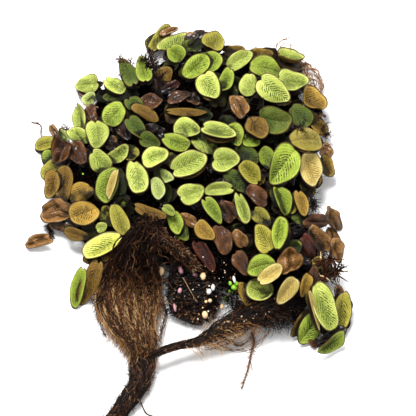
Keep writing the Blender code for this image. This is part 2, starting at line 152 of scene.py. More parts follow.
LARGE_LEAVES = {
    "top": [
        (104, 79, 125, 91, 17, "bright", 15, 5, 0.15), (101, 82, 73, 84, 17, "olive", -20, 0, 0.1, -0.15),
        (124, 104, 105, 125, 22, "green", -10, -5), (96, 118, 99, 149, 21, "bright", -5, -15),
        (135, 87, 122, 59, 17, "dark", -15, 20, -0.15), (146, 84, 140, 56, 16, "olive", 10, 25, -0.1),
        (149, 49, 166, 24, 15, "olive", -20, 15, 0.3), (160, 51, 186, 33, 17, "bright", 10, 0, 0.1, 0.2),
        (203, 47, 223, 36, 20, "olive", 15, 15, 0, 0.15), (184, 77, 207, 54, 21, "green", 15, -5, 0.15),
        (203, 71, 214, 99, 23, "bright", 5, -15), (277, 53, 305, 55, 15, "tan", 10, 30, -0.1),
        (250, 64, 284, 71, 19, "green", 5, 15), (276, 77, 308, 83, 22, "bright", 10, 5),
        (257, 77, 289, 101, 24, "bright", 0, -10, 0.1, -0.1), (302, 92, 326, 108, 18, "ochre", 15),
        (258, 117, 292, 122, 27, "green", 0, -15), (246, 122, 268, 133, 23, "olive", 5, -10, 0, 0.15),
    ],
    "left": [
        (57, 139, 33, 147, 13, "olive", -15, -10, -0.1), (67, 136, 54, 161, 21, "brown", -15, -15, 0, 0.15),
        (57, 170, 50, 197, 18, "ochre", -20, -10, 0.1, 0.15),
        (72, 206, 43, 214, 26, "tan", -10, -15, 0, 0.2), (99, 207, 70, 218, 25, "ochre", -10, -15),
        (114, 168, 100, 201, 23, "green", -10, -5, 0.3, 0), (135, 161, 140, 194, 23, "bright", 0, -10),
        (142, 161, 168, 153, 21, "bright"), (163, 137, 190, 148, 18, "green", 5, -20, 0.25, 0),
        (201, 128, 235, 135, 19, "bright", 5, -10), (171, 173, 206, 154, 24, "bright", 5, -10, 0.3, 0),
    ],
    "middle": [
        (211, 160, 239, 160, 25, "bright", 0, 0, 0.15, 0.05), (260, 183, 240, 161, 18, "olive", -5, -10),
        (302, 151, 316, 185, 24, "ochre", 20, -10), (290, 140, 323, 140, 25, "olive", 15, 5, 0.1, -0.1),
        (292, 147, 274, 184, 29, "green", 5, -5, 0.1, 0.05),
        (238, 192, 248, 224, 13, "bright", -20, -10, 0.15),
    ],
    "lower": [
        (52, 237, 26, 244, 15, "tan", 0, -10, 0.25, 0), (98, 271, 72, 308, 25, "ochre", -10, -8, 0.15),
        (123, 235, 83, 257, 21, "bright", -5, -8, 0.1, -0.1), (270, 253, 257, 224, 20, "olive", -5),
        (276, 248, 281, 216, 16, "green", 5), (326, 206, 339, 233, 15, "tan", 20, -5),
        (334, 236, 340, 262, 15, "tan", 25, -10), (276, 261, 247, 269, 23, "green", -10, -8),
        (288, 274, 289, 245, 23, "tan", 0, -10), (272, 293, 247, 285, 25, "bright", -12, -8),
        (313, 267, 302, 297, 19, "brown", 5, -5, 0.3, 0), (344, 290, 338, 331, 18, "olive", 15, -5),
        (344, 331, 317, 347, 15, "green", 8, -12), (296, 340, 319, 311, 24, "green", -5, -8, 0.1, -0.05),
        (315, 283, 334, 330, 24, "bright", -8, -5, 0.25, 0),
    ],
}
# Large leaves whose blade differs from its solid: in bend, roll, cup, fold, lean, ends, width or kind
REFINED = {
    "top_leaf_01": dict(cup=-0.12, fold=0.12), "top_leaf_02": dict(kind="bright"),
    "left_leaf_02": dict(x0=66, y0=137, x1=56, y1=163, width=18), "top_leaf_06": dict(kind="green"),
    "top_leaf_07": dict(bend=60, roll=-15, x1=168, y1=22, width=17), "top_leaf_08": dict(cup=0.55, away=32),
    "top_leaf_09": dict(cup=0.25), "top_leaf_12": dict(cup=0.7, away=42, width=13, kind="bright"),
    "top_leaf_13": dict(cup=-0.2), "top_leaf_16": dict(cup=0.5, away=30), "top_leaf_17": dict(kind="dark"),
    "left_leaf_03": dict(kind="umber"), "middle_leaf_03": dict(kind="cream"),
    "middle_leaf_05": dict(x0=296, y0=147, x1=269, y1=183, width=31), "top_leaf_18": dict(kind="umber"),
    "lower_leaf_07": dict(x0=333, x1=337, width=13), "lower_leaf_12": dict(x0=342, x1=337),
    "middle_leaf_04": dict(kind="moss"), "left_leaf_06": dict(bend=60, roll=5),
    "left_leaf_09": dict(bend=55, roll=10), "left_leaf_10": dict(cup=0.2, away=10),
    "left_leaf_11": dict(bend=50, roll=0), "lower_leaf_03": dict(cup=0.45, away=26, kind="lemon"),
    "lower_leaf_02": dict(cup=-0.25, fold=0.2, x0=100, y0=258, x1=83, y1=304, width=18, kind="umber"),
    "lower_leaf_10": dict(cup=0.45, away=22),
    "lower_leaf_11": dict(bend=60, roll=-10, x0=315, x1=308, width=15),
    "lower_leaf_13": dict(y0=333, y1=350, width=17),
    "lower_leaf_14": dict(x0=299, y0=341, x1=320, y1=311, width=22), "lower_leaf_15": dict(bend=75, roll=12),
}
# Leaves between and under the others, sunk into the mat
LOW_LEAVES = [
    (83, 103, 94, 94, 12, "pale", -10), (79, 106, 82, 131, 13, "bright", -25, 0, 0.2),
    (130, 94, 104, 98, 10, "dark", 0, 10), (185, 40, 195, 30, 10, "tan", 0, 10),
    (190, 42, 206, 29, 13, "brown", 0, 10), (170, 46, 182, 60, 16, "green", 0, -5, 0.3),
    (218, 54, 202, 70, 20, "green", 0, 0, 0.3), (230, 70, 221, 91, 14, "green", 5, 0, 0.2),
    (152, 82, 171, 70, 17, "umber", 0, 0, -0.1, -0.2), (161, 91, 178, 82, 10, "rust", 0, 0, 0.3),
    (167, 99, 189, 94, 10, "brown", 0, 10, -0.2, 0.2), (134, 106, 157, 119, 12, "umber", 0, 0, -0.1, -0.2),
    (188, 94, 199, 102, 12, "brown"), (137, 110, 158, 95, 15, "brown", 0, 0, -0.2, -0.3),
    (128, 98, 142, 113, 14, "dark"), (167, 111, 206, 113, 6, "umber", 0, 25, -0.2, 0),
    (223, 50, 246, 48, 11, "ochre", 0, 10, 0.1, 0.1, 80, -20),
    (249, 52, 273, 52, 11, "ochre", 0, 10, 0.1, 0.1, 80, -20),
    (227, 65, 251, 52, 15, "bright", 0, 5, 0.1, 0.1, 60, -20),
    (250, 74, 246, 96, 16, "bright", 0, -5, -0.2, 0.2), (291, 108, 311, 124, 18, "dark", 5, -5),
    (311, 116, 325, 134, 15, "ochre", 15), (233, 96, 246, 116, 15, "tan", 0, 0, 0.3, 0.2),
    (58, 130, 67, 140, 9, "pale", -10), (49, 125, 57, 139, 7, "tan", -10),
    (62, 148, 47, 166, 21, "green", -10, -5), (59, 161, 44, 178, 14, "olive", -20),
    (66, 167, 63, 201, 16, "umber", -10), (60, 203, 68, 212, 12, "tan", 0, 0, 0.1, 0.2),
    (90, 186, 71, 200, 18, "ochre", -5, 0, 0.1, -0.2), (70, 130, 89, 141, 14, "bright", -5),
    (70, 142, 84, 163, 17, "brown", 0, 0, 0.1, 0.2), (108, 139, 116, 149, 13, "tan", 0, 0, 0.1, 0.4),
    (110, 161, 127, 147, 14, "bright", 0, 10, 0.1, 0.1, 60, -25), (92, 153, 110, 170, 18, "bright", 0, -5),
    (118, 170, 119, 195, 17, "green", 0, -5), (155, 179, 161, 198, 13, "pale", 0, -5),
    (174, 130, 199, 128, 18, "bright", 0, 5), (193, 136, 217, 149, 19, "bright", 0, -5),
    (180, 197, 202, 190, 20, "bright", 0, -5), (232, 188, 206, 190, 13, "bright", 0, 10, 0.1, 0.1, 60, 25),
    (204, 198, 221, 221, 12, "green", 0, -5), (129, 118, 144, 138, 15, "dark"),
    (116, 123, 132, 136, 15, "brown", 0, 0, 0.3, 0.3), (140, 138, 159, 144, 14, "dark"),
    (165, 158, 178, 163, 12, "olive"), (226, 126, 241, 143, 17, "green", 0, -5),
    (243, 138, 259, 143, 13, "green", 0, -5), (226, 173, 251, 192, 16, "dark", 0, -5),
    (239, 147, 256, 164, 17, "dark", 0, -5), (262, 148, 272, 169, 14, "green", 0, -5),
    (321, 158, 331, 175, 13, "ochre", 15), (322, 145, 333, 156, 12, "tan", 15),
    (301, 180, 314, 192, 14, "olive", 5), (253, 209, 268, 225, 14, "olive", 0, 0, 0.3, 0.2),
    (222, 202, 234, 221, 15, "brown", 0, 0, 0.3), (248, 188, 267, 203, 15, "brown"),
    (280, 186, 289, 212, 14, "green", 0, 0, 0.1, 0.1, 80, 30), (297, 192, 291, 213, 10, "olive"),
    (298, 191, 304, 215, 11, "ochre"), (273, 186, 277, 206, 10, "dark"), (97, 229, 107, 226, 10, "bright"),
    (115, 206, 126, 235, 15, "olive", 5, 0, 0.2), (101, 210, 116, 224, 15, "olive"),
    (136, 207, 164, 217, 11, "umber", 0, 20, -0.2, 0), (171, 212, 180, 232, 14, "green"),
    (176, 227, 188, 238, 13, "green"), (181, 216, 196, 224, 12, "tan", 0, 0, 0.3),
    (197, 222, 212, 239, 14, "ochre"), (196, 240, 214, 270, 12, "rust", 0, 0, 0.2),
    (219, 227, 226, 252, 18, "brown", 0, 0, 0.2), (235, 232, 245, 246, 13, "tan", 0, 0, 0.2),
    (235, 253, 247, 272, 15, "brown", 0, 0, 0.2), (300, 246, 276, 248, 14, "green", 0, 5),
    (301, 236, 312, 256, 14, "rust", 0, 0, 0.2), (311, 228, 328, 251, 18, "tan", 10),
    (329, 229, 338, 249, 12, "tan", 15), (304, 221, 327, 222, 14, "brown", 5, 0, 0.2),
    (298, 257, 311, 258, 13, "rust", 5, 0, 0.1, 0.3), (312, 262, 323, 262, 12, "olive", 5),
    (336, 285, 341, 300, 9, "tan", 5), (309, 342, 321, 342, 9, "brown", 5),
    (242, 283, 250, 304, 14, "ochre", -10), (84, 269, 75, 305, 13, "green", -10, 0, 0.2),
    (88, 106, 93, 120, 13, "brown", 0, 0, 0.1, 0.2), (64, 150, 66, 166, 12, "brown", 0, 0, 0.1, 0.2),
    (163, 207, 175, 213, 9, "bright"), (183, 47, 203, 43, 11, "green", 0, 5, 0.2),
    (50, 217, 76, 228, 17, "tan"), (66, 231, 88, 238, 12, "umber"),
]
# Leaves that lie over their neighbours
HIGH_LEAVES = [
    (297, 278, 278, 302, 18, "cream", 0, -5, 0.1, 0.1, 50, 10), (154, 170, 173, 181, 14, "pale", 0, -5),
    (257, 282, 283, 265, 15, "cream", 0, -5, 0.1, 0.1, 50, 20),
    (309, 272, 302, 297, 11, "ochre", 0, -5, 0.1, 0.1, 50, 20),
    (117, 168, 107, 200, 8, "cream", 0, -5, 0.1, 0.1, 50, -20),
    (160, 31, 178, 24, 7, "tan", 0, 10, 0.1, 0.1, 60, 20),
    (308, 288, 319, 328, 5, "cream", 0, -5, 0.1, 0.1, 50, 20),
]

# Kinds of leaf: upper side, rim, marks, and underside, as hundredths of red, green and blue seen
Kind = namedtuple("Kind", "main rim mark under slot")
KINDS = {
    "bright": Kind((74, 79, 36), (90, 90, 55), (20, 28, 6), (50, 36, 15), "leaf_green"),
    "lemon": Kind((90, 90, 40), (96, 95, 66), (26, 32, 8), (50, 36, 15), "leaf_green"),
    "pale": Kind((80, 85, 48), (95, 96, 78), (30, 38, 12), (52, 40, 18), "leaf_green"),
    "green": Kind((60, 68, 22), (76, 79, 38), (9, 15, 3), (42, 31, 12), "leaf_green"),
    "dark": Kind((34, 41, 13), (50, 45, 20), (5, 8, 2), (28, 18, 7), "leaf_green"),
    "olive": Kind((66, 63, 23), (80, 74, 38), (16, 16, 4), (42, 29, 11), "leaf_olive"),
    "moss": Kind((55, 50, 20), (70, 60, 32), (13, 12, 4), (40, 27, 11), "leaf_olive"),
    "ochre": Kind((69, 55, 21), (82, 68, 36), (22, 14, 5), (45, 30, 12), "leaf_olive"),
    "umber": Kind((53, 40, 15), (60, 52, 24), (14, 9, 3), (36, 25, 9), "leaf_olive"),
    "brown": Kind((42, 25, 12), (56, 38, 20), (7, 3, 2), (26, 14, 6), "leaf_brown"),
    "rust": Kind((33, 13, 6), (45, 22, 12), (7, 2, 2), (20, 8, 5), "leaf_brown"),
    "cream": Kind((82, 73, 40), (93, 87, 62), (45, 33, 12), (58, 42, 20), "leaf_olive"),
    "tan": Kind((62, 43, 20), (80, 62, 38), (20, 11, 5), (42, 27, 13), "leaf_brown"),
}

# The browner lower side that a large leaf shows: how far right and down it is seen past the leaf, its
# size and kind
BELLY_USUAL = (0.5, 3.0, 0.96, "umber")
BELLIES = {
    "top_leaf_07": (-1, 2, 0.9, "olive"), "top_leaf_02": (2, 4.5, 0.96, "brown"),
    "top_leaf_08": (4, 5, 0.95, "brown"), "top_leaf_12": (0, 8, 1, "ochre"),
    "top_leaf_13": (-3, 3, 0.95, "ochre"), "top_leaf_14": (1, 5, 0.97, "tan"),
    "top_leaf_16": (1, 8, 1, "brown"), "left_leaf_08": (0, 3, 0.95, "umber"),
    "left_leaf_10": (0, 3, 0.97, "umber"), "left_leaf_11": (3, 3, 0.9, "umber"),
    "middle_leaf_02": (3, 3, 0.95, "umber"), "middle_leaf_06": (-3, 1, 0.95, "umber"),
    "lower_leaf_03": (3, 5, 1, "umber"), "lower_leaf_10": (-5, 5, 1, "ochre"),
    "lower_leaf_12": (2, 1, 1, "tan"), "lower_leaf_13": (1, -5, 1, "brown"),
    "lower_leaf_14": (-5, -2, 1.04, "umber"), "lower_leaf_15": (-6, 2, 1, "umber"),
    "lower_leaf_05": (3, 3, 0.97, "umber"), "lower_leaf_08": (0, 4, 0.96, "umber"),
}
# How far it lies under the leaf at least and at most, and how far both may rise off the ground
BELLY_DROP = 1.0 * MM
BELLY_DEEPEST = 5 * MM
BELLY_RISE = 2.5 * MM
# Kinds of leaf deep between the others, and how often each comes
SUNK_KINDS = {"dark": 0.25, "green": 0.2, "brown": 0.2, "olive": 0.15, "rust": 0.05, "umber": 0.15}

# Tones of roots: place on a ramp, then hundredths of red, green and blue seen
DARK = [(0, 2, 1.2, 1), (0.35, 10, 5.5, 3.5), (0.6, 30, 17, 10), (0.85, 55, 38, 25), (1, 82, 68, 52)]
GOLD = [(0, 4, 2, 1), (0.3, 27, 14, 7), (0.6, 60, 41, 23), (0.85, 86, 69, 46), (1, 97, 88, 70)]
DEBRIS_TONES = [(0, 20, 12, 7), (0.5, 50, 34, 20), (0.8, 84, 70, 54), (1, 93, 91, 88)]

# The mat of roots: its middle on the grid, and how far it reaches at each angle from +X, in mm
MAT_MIDDLE = (190, 186)
MAT_REACH = [
    (0, 55), (33, 59), (50, 65), (67, 62), (90, 61), (112, 54), (135, 55), (157, 53), (180, 54), (197, 55),
    (216, 52), (228, 46), (245, 40), (262, 38), (278, 41), (292, 53), (301, 67), (309, 76), (317, 75),
    (326, 68), (342, 57), (360, 55),
]
MAT_HEIGHT = 11.0 * MM
MAT_EDGE_HEIGHT = 3 * MM
MAT_UNDERCUT = 0.3
# How far inside its solid the mat stays, all round and more at one angle
MAT_INSET = 0.94
RIGHT_INSET = 0.08
RIGHT_TURN = 350
RIGHT_SPAN = 28
# Lumps of the mat: length and height of their waves, in mm
MAT_LUMPS = [(22, 0.9), (14, 0.7), (9, 0.45), (5, 0.3), (3, 0.22), (1.8, 0.16)]
MAT_TURNS, MAT_RINGS = 160, 60

# Guides for roots: middle on the grid, height in mm, half the width on the grid, half the height in mm
FAN_GUIDE = [
    (152, 214, 19.5, 9, 1), (146, 232, 19.5, 16, 1.2), (138, 250, 17, 24, 1.6), (133.5, 268, 9, 30.5, 3.4),
    (129.5, 284, 5.4, 34, 4.4), (128, 301, 4.2, 35, 3.8), (132, 320, 3.6, 28, 3.4), (140, 341, 3.4, 18, 3.2),
    (143, 360, 3.3, 12, 3.2),
]
TAIL_GUIDE = [
    (143, 356, 3.4, 12, 3.2), (142, 366, 3.4, 12, 3.2), (140, 380, 3.3, 10, 3.2), (131, 395, 3.1, 8.8, 3),
    (119.5, 410, 2.7, 7.8, 2.6), (111, 422, 1.9, 6, 1.8), (107, 428, 1.2, 3, 1.2),
]
STRAND_GUIDE = [
    (147, 358, 7.4, 4, 1.4), (158, 351, 8.4, 4, 1.4), (170, 347, 8.2, 4, 1.5), (186, 343, 7.7, 4, 1.8),
    (200, 340, 7.5, 5, 2.2), (216, 331, 8, 8, 2.6), (236, 320, 8.5, 12, 3), (256, 312, 9, 14, 3),
    (272, 306, 9, 14, 3), (290, 300, 9, 11, 3),
]
ARM_GUIDE = [
    (148, 226, 20.5, 8, 1), (158, 236, 20, 9, 1.2), (172, 246, 18.5, 9, 1.2), (186, 258, 15, 8, 1.2),
    (197, 270, 11.5, 6, 1.2), (204, 282, 9.5, 4, 1),
]
MASS_GUIDE = [
    (226, 290, 8.5, 7, 2), (240, 299, 7.5, 12, 3), (256, 306, 7, 15, 3.2), (272, 311, 7, 16, 3.2),
    (289, 315, 7, 15, 3), (303, 320, 6.5, 10, 2.4),
]
TUFT_EDGE_GUIDE = [
    (176, 262, 10.5, 3.5, 1.6), (173, 274, 7.5, 3.5, 1.6), (172, 290, 5.2, 3.5, 1.6),
    (173, 306, 4.2, 3.5, 1.6), (180, 315, 3.4, 3.5, 1.5), (192, 320, 2.6, 3, 1.3), (202, 324, 2.4, 2, 1),
]
TUFT_GUIDE = [
    (192, 262, 10, 22, 4), (190, 276, 6, 24, 4.4), (192, 290, 4.8, 25, 4.4), (196, 302, 4.2, 27, 4.2),
    (199, 311, 3.4, 19, 3), (200, 319, 2.2, 9, 2),
]
# Lines of single roots: places on the grid with heights in mm
STRAND_LOOPS = [
    [(212, 334, 7), (222, 338, 3), (240, 343, 1.5), (250, 338, 3), (255, 328, 7)],
    [(206, 340, 6), (220, 347, 2), (236, 350, 1), (255, 346, 1.5), (268, 330, 6)],
    [(196, 341, 6), (208, 346, 2), (224, 343, 2), (240, 334, 4), (252, 320, 8)],
    [(150, 350, 6), (154, 358, 6), (155, 366, 5), (152, 378, 4), (147, 392, 3)],
    [(163, 296, 3), (166, 312, 2), (164, 328, 2), (159, 342, 3), (155, 352, 5)],
]
SPRIG = [(251, 331, 2.5), (254, 340, 1.4), (251, 351, 1), (249, 361, 0.9), (246, 373, 0.9), (241, 388, 0.9)]
SPRIG_BRANCH = [(250, 357, 1), (250, 361, 1), (251, 364, 1), (252, 369, 0.8)]
HAIRY_LOOP = [(296, 66, 9), (304, 66, 10), (311, 70, 11), (317, 78, 11), (318, 89, 10), (312, 97, 9)]
# Where the spiky tuft's spines grow from, off its middle, in mm
STAR_HEARTS = [(-3, 1.8, 0), (0.6, 3.6, 0), (2.7, -1.5, 0), (-1.5, -3.9, 0)]
# Stems: their line, and thickness in mm
STEMS = {
    "top_stem": ([(147, 48, 9), (150, 55, 10), (152, 63, 11), (154, 74, 12), (155, 86, 12)], 0.4),
    "left_stem": ([(47, 225, 1.2), (49, 229, 1.2), (51, 233, 1), (53, 237, 0.9)], 0.45),
}
# Points of a drawn line
LINE_STEPS = 20
# Loose roots: places with heights in mm over what the last one rests on, thickness in mm, tint, side
# hairs and how many run together
LOOSE_LINES = [
    ([(30, 122, 1), (36, 123, 0.8), (40, 126, 0.5), (40, 135, 0.3), (43, 142, 0)], 0.32, 0.62, 14, 1),
    ([(33, 118, 1.2), (35, 121, 1), (39, 125, 0.5), (43, 142, 0)], 0.2, 0.65, 6, 1),
    ([(276, 49, 0), (277, 44, 2), (282, 40, 3), (289, 38, 3), (291, 42, 2), (290, 49, 0)], 0.2, 0.9, 10, 2),
    ([(283, 50, 0), (281, 45, 1), (286, 41, 2), (293, 44, 1), (296, 51, 0)], 0.16, 0.9, 6, 1),
    ([(148, 46, 1), (154, 58, 1), (158, 72, 1), (158, 92, 0.5)], 0.16, 0.2, 50, 4),
    ([(150, 52, 1), (147, 66, 1), (153, 80, 1), (164, 98, 0.5)], 0.16, 0.25, 50, 4),
    ([(158, 60, 1), (153, 72, 1), (160, 84, 1), (150, 98, 0.5)], 0.16, 0.15, 50, 4),
    ([(183, 277, 3), (187, 284, 3), (192, 293, 3), (198, 302, 3)], 0.13, 0.95, 0, 1),
    ([(136, 226, 2.5), (141, 230, 2.6), (147, 231, 2.6), (151, 229, 2.5)], 0.34, 1, 0, 1),
    ([(108, 270, 1.4), (110, 264, 1.6), (114, 258, 1.4)], 0.3, 0.95, 0, 1),
    ([(158, 415, -1.2), (153, 414, -1.2), (147, 411, -0.9), (143, 404, -0.4), (140, 396, 0)],
     0.42, 0.4, 16, 1),
    ([(107, 337, -4), (102, 330, -3.6), (101, 316, -2.6), (104, 300, 0)], 0.11, 0.45, 60, 3),
    ([(99, 322, -4), (96, 312, -3), (99, 300, 0)], 0.11, 0.45, 40, 2),
    ([(158, 340, -3.4), (163, 324, -2.8), (163, 308, -2), (159, 292, 0)], 0.14, 0.6, 50, 2),
    ([(72, 104, 0.8), (78, 103, 0.9), (84, 105, 0.8), (90, 107, 0.3)], 0.13, 0.95, 0, 2),
    ([(98, 107, 0.6), (94, 105, 0.8), (90, 106, 0.6), (88, 109, 0.3)], 0.13, 0.95, 0, 2),
    ([(238, 98, 1.5), (243, 112, 2.2), (252, 120, 1.6), (250, 132, 0.5)], 0.22, 0.2, 10, 1),
    ([(225, 110, 1.5), (233, 104, 2.2), (236, 120, 1), (230, 128, 0.5)], 0.2, 0.15, 10, 1),
    ([(264, 97, 1), (262, 112, 1.5), (254, 126, 1.5), (262, 141, 0.5)], 0.2, 0.2, 10, 1),
]
# Tufts: place, way right and up, hairs, shortest and longest in mm, tint
LOOSE_TUFTS = [
    (120, 61, -0.6, 1, 44, 2, 5, 0.5), (129, 62, -0.1, 1, 26, 2, 4.5, 0.5),
    (143, 60, -0.2, 1, 34, 2, 4.5, 0.35), (150, 66, 0.4, 0.8, 70, 3, 7, 0.15),
    (158, 80, 0.3, -0.2, 90, 3, 7, 0.1), (121, 74, -1, 0.2, 18, 1.5, 3, 0.4),
    (322, 126, 1, 0.4, 22, 2, 5, 0.35), (325, 134, 1, 0.2, 34, 2, 4.5, 0.25),
    (324, 146, 1, -0.2, 16, 2, 6, 0.6), (308, 190, 0.1, -1, 70, 3, 6, 0.12),
    (312, 202, 0.2, -1, 60, 3, 6, 0.12), (64, 130, -0.8, 0.5, 22, 2, 4, 0.4),
    (103, 296, -0.5, -0.9, 60, 3, 6.5, 0.15), (108, 275, -1, -0.3, 90, 3, 6, 0.12),
    (106, 264, -0.8, -0.4, 90, 3, 7, 0.1), (338, 266, 1, -0.1, 18, 3, 6, 0.25),
    (70, 232, -0.6, -0.5, 12, 2, 4, 0.15), (300, 128, 0.2, 0.2, 40, 3, 6, 0.2),
    (120, 146, 0.1, -0.8, 50, 3, 7, 0.1),
]
# Tints by the row at which hairs are seen: the fan's long roots, bed and fine hairs, and what is added
# at the tail's start; the strand's loose hairs are multiplied by the last
FAN_ROOT_TINTS = ((225, 262, 296, 330, 358), (0.08, 0.16, 0.46, 0.44, 0.24))
FAN_BED_TINTS = ((225, 262, 290, 325, 360), (0.02, 0.16, 0.72, 0.82, 0.42))
FAN_HAIR_TINTS = ((225, 262, 290, 325, 365), (0.04, 0.16, 0.68, 0.76, 0.5))
TAIL_START_TINTS = ((355, 370, 385), (0.3, 0.15, 0.0))
STRAND_FADE = ((308, 334), (0.3, 1.0))
# The strand's thick roots darken along it, as fewer of them carry painted highlights
STRAND_ROOT_FADE = ((0.0, 0.45, 0.8), (1.0, 0.9, 0.35))

# Regions of the grid, by left, right, top and bottom: where roots show, where the mat is bare of
# hairs, and where no leaves lie deep
FAR = 999
OPEN_ROOTS = [(105, 320, 205, FAR)]
BARE_MAT = [(316, FAR, 100, 225), (-FAR, 112, 212, FAR)]
LEAFLESS = [(108, 232, 222, FAR), (-FAR, 300, 262, FAR), (304, FAR, 165, 228)]
# Where small debris is caught: left, right, top and bottom on the grid, and how many
DEBRIS = [
    (172, 236, 262, 322, 150), (150, 206, 236, 276, 40), (216, 300, 285, 330, 70), (110, 165, 225, 275, 16),
]
# Where no root passes over a grain: place and radius on the grid
GRAIN_CLEARINGS = [
    (161, 271, 5), (181, 270, 3.5), (187, 275, 3.5), (195, 275, 4), (203, 276, 4), (180, 290, 3),
    (175, 307, 3.5), (166, 286, 4), (166, 294, 4), (166, 302, 4), (166, 310, 4), (167, 318, 4),
    (205, 314, 4), (222, 306, 3), (211, 289, 4), (210, 300, 3), (234, 287, 5), (225, 298, 3), (192, 289, 3),
]
# Grains: place, width, height and rise in mm as seen of each, then two tones, and the finish
GRAINS = {
    "cream_grains": (
        [(161, 271, 7, 10, 7), (205, 314, 6, 8, 0), (222, 306, 4, 6, 0), (210, 300, 4, 4, 0),
         (206, 301, 3, 3, 0), (203, 276, 6, 8, 3)], (95, 84, 66), (80, 62, 42), "leaf_brown",
    ),
    "white_grains": (
        [(209, 291, 5, 6, 0), (213, 287, 4, 7, 0), (234, 279, 3, 8, 0)],
        (92, 92, 90), (75, 74, 72), "leaf_brown",
    ),
    "pink_grains": (
        [(181, 270, 5, 8, 3), (187, 275, 6, 6, 3), (195, 275, 7, 5, 3), (180, 290, 4, 6, 1),
         (175, 307, 3, 9, 1)], (62, 34, 44), (80, 62, 62), "leaf_brown",
    ),
    "duckweed": (
        [(230, 283, 4, 5, 0), (234, 287, 6, 6, 0), (231, 291, 6, 5, 0), (236, 283, 4, 5, 0),
         (224, 296, 3, 4, 0), (226, 299, 4, 5, 0), (83, 174, 2, 2, 0)],
        (55, 80, 16), (45, 68, 12), "leaf_green",
    ),
}
GRAIN_BEARERS = ("root_mat", "root_tuft", "root_fan", "root_strand")

# The stage: half the floor's width and the lamp's place and width in metres
FLOOR_REACH = 6.0
LAMP_PLACE = (-0.25, 0.6, 1.5)
LAMP_WIDTH = 0.7
SENSOR = 36


def tone(hundredths):
    """A colour given in hundredths as it is seen, as the linear values that shaders use: below 0.04 a
    straight line, and above it a power of 2.4."""
    seen_shares = np.asarray(hundredths, float) / 100
    linear = np.where(seen_shares <= 0.04045, seen_shares / 12.92, ((seen_shares + 0.055) / 1.055) ** 2.4)
    return (*linear.tolist(), 1.0)


def unit(vectors):
    """Vectors brought to length one along their last axis."""
    return vectors / np.maximum(np.linalg.norm(vectors, axis=-1, keepdims=True), 1e-12)


def on_grid(x, y, height_mm):
    """Points seen at grid places that lie at a height above the ground."""
    x, y, height = np.broadcast_arrays(x, y, np.asarray(height_mm, float) * MM)
    across = (x - GRID_CENTRE[0]) * GRID
    seen_up = (GRID_CENTRE[1] - y) * GRID
    return np.stack([across, (seen_up - height * UP[2]) / UP[1], height], axis=-1)


def seen(points):
    """The grid column and row at which points are seen."""
    return GRID_CENTRE[0] + points @ RIGHT / GRID, GRID_CENTRE[1] - points @ UP / GRID


def within(x, y, regions):
    """Whether grid places lie in any of some regions."""
    inside = [(x > left) & (x < right) & (y > top) & (y < bottom) for left, right, top, bottom in regions]
    return np.any(inside, axis=0)


def off_ground(points, lowest, highest=math.inf):
    """Points brought to a height in mm above the ground at least, and no higher than a height in metres."""
    points[..., 2] = np.clip(points[..., 2], lowest * MM, highest)
    return points


def through(rows, part):
    """Rows of numbers read on a smooth curve through all of them, at parts from 0 to 1 of its length.

    Each stretch is the cubic that passes its two ends with the slopes of their neighbours."""
    rows = np.asarray(rows, float)
    place = np.clip(np.asarray(part, float), 0, 1) * (len(rows) - 1)
    index = np.clip(place.astype(int), 0, len(rows) - 2)
    t = (place - index)[..., None]
    before, start, end = rows[np.maximum(index - 1, 0)], rows[index], rows[index + 1]
    after = rows[np.minimum(index + 2, len(rows) - 1)]
    return 0.5 * (
        2 * start
        + (end - before) * t
        + (2 * before - 5 * start + 4 * end - after) * t ** 2
        + (3 * start - before - 3 * end + after) * t ** 3
    )


# Shapes: points, faces as arrays of equal-sided ones, and values for each point
Shape = namedtuple("Shape", "points faces values")
# The order of a four-sided face's corners that turns it over
TURNED_OVER = [0, 3, 2, 1]


def joined(shapes):
    """Several shapes as one: their points in a row, and each one's faces counted on from the last."""
    faces, values, start = [], {}, 0
    for shape in shapes:
        faces.extend(array + start for array in shape.faces)
        start += len(shape.points)
        for name, array in shape.values.items():
            values.setdefault(name, []).append(array)
    together = {name: np.concatenate(arrays) for name, arrays in values.items()}
    return Shape(np.concatenate([shape.points for shape in shapes]), faces, together)


def moved(shape, offset):
    """A shape moved by an offset."""
    return shape._replace(points=shape.points + offset)


def quads(index, after):
    """Four-sided faces between rows of points: two neighbours of one row, and the same two of the next."""
    corners = [index[..., :-1, :], after[..., :-1, :], after[..., 1:, :], index[..., 1:, :]]
    return np.stack(corners, axis=-1).reshape(-1, 4)


def ring(first, second, sides):
    """The corners of a regular polygon in the plane of two ways."""
    angle = math.tau * np.arange(sides) / sides
    return np.cos(angle)[:, None] * first[..., None, :] + np.sin(angle)[:, None] * second[..., None, :]


def add_piece(name, shape, paint, slot, *nodes):
    """Put a shape into a mesh object at the origin, with its values as attributes and a UV map. It rides
    on the clump, with a finish and the solids it stands for."""
    mesh = bpy.data.meshes.new(name)
    mesh.vertices.add(len(shape.points))
    mesh.vertices.foreach_set("co", np.ascontiguousarray(shape.points, np.float32).ravel())
    corners = np.concatenate([array.ravel() for array in shape.faces]).astype(np.int32)
    sides = np.concatenate([np.full(len(array), array.shape[1]) for array in shape.faces])
    mesh.loops.add(len(corners))
    mesh.loops.foreach_set("vertex_index", corners)
    mesh.polygons.add(len(sides))
    mesh.polygons.foreach_set("loop_start", np.concatenate([[0], np.cumsum(sides)[:-1]]).astype(np.int32))
    mesh.polygons.foreach_set("use_smooth", np.ones(len(sides), bool))
    for label, array in shape.values.items():
        if label == "blade":
            mesh.uv_layers.new(name=label).data.foreach_set("uv", array[corners].astype(np.float32).ravel())
        else:
            attribute = mesh.attributes.new(label, "FLOAT", "POINT")
            attribute.data.foreach_set("value", array.astype(np.float32))
    mesh.update(calc_edges=True)
    if mesh.validate():
        raise RuntimeError(f"{name} has faces that can't be used")
    mesh.materials.append(paint)
    piece = bpy.data.objects.new(name, mesh)
    bpy.context.scene.collection.objects.link(piece)
    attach(piece, BODY)
    if nodes:
        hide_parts(*nodes)


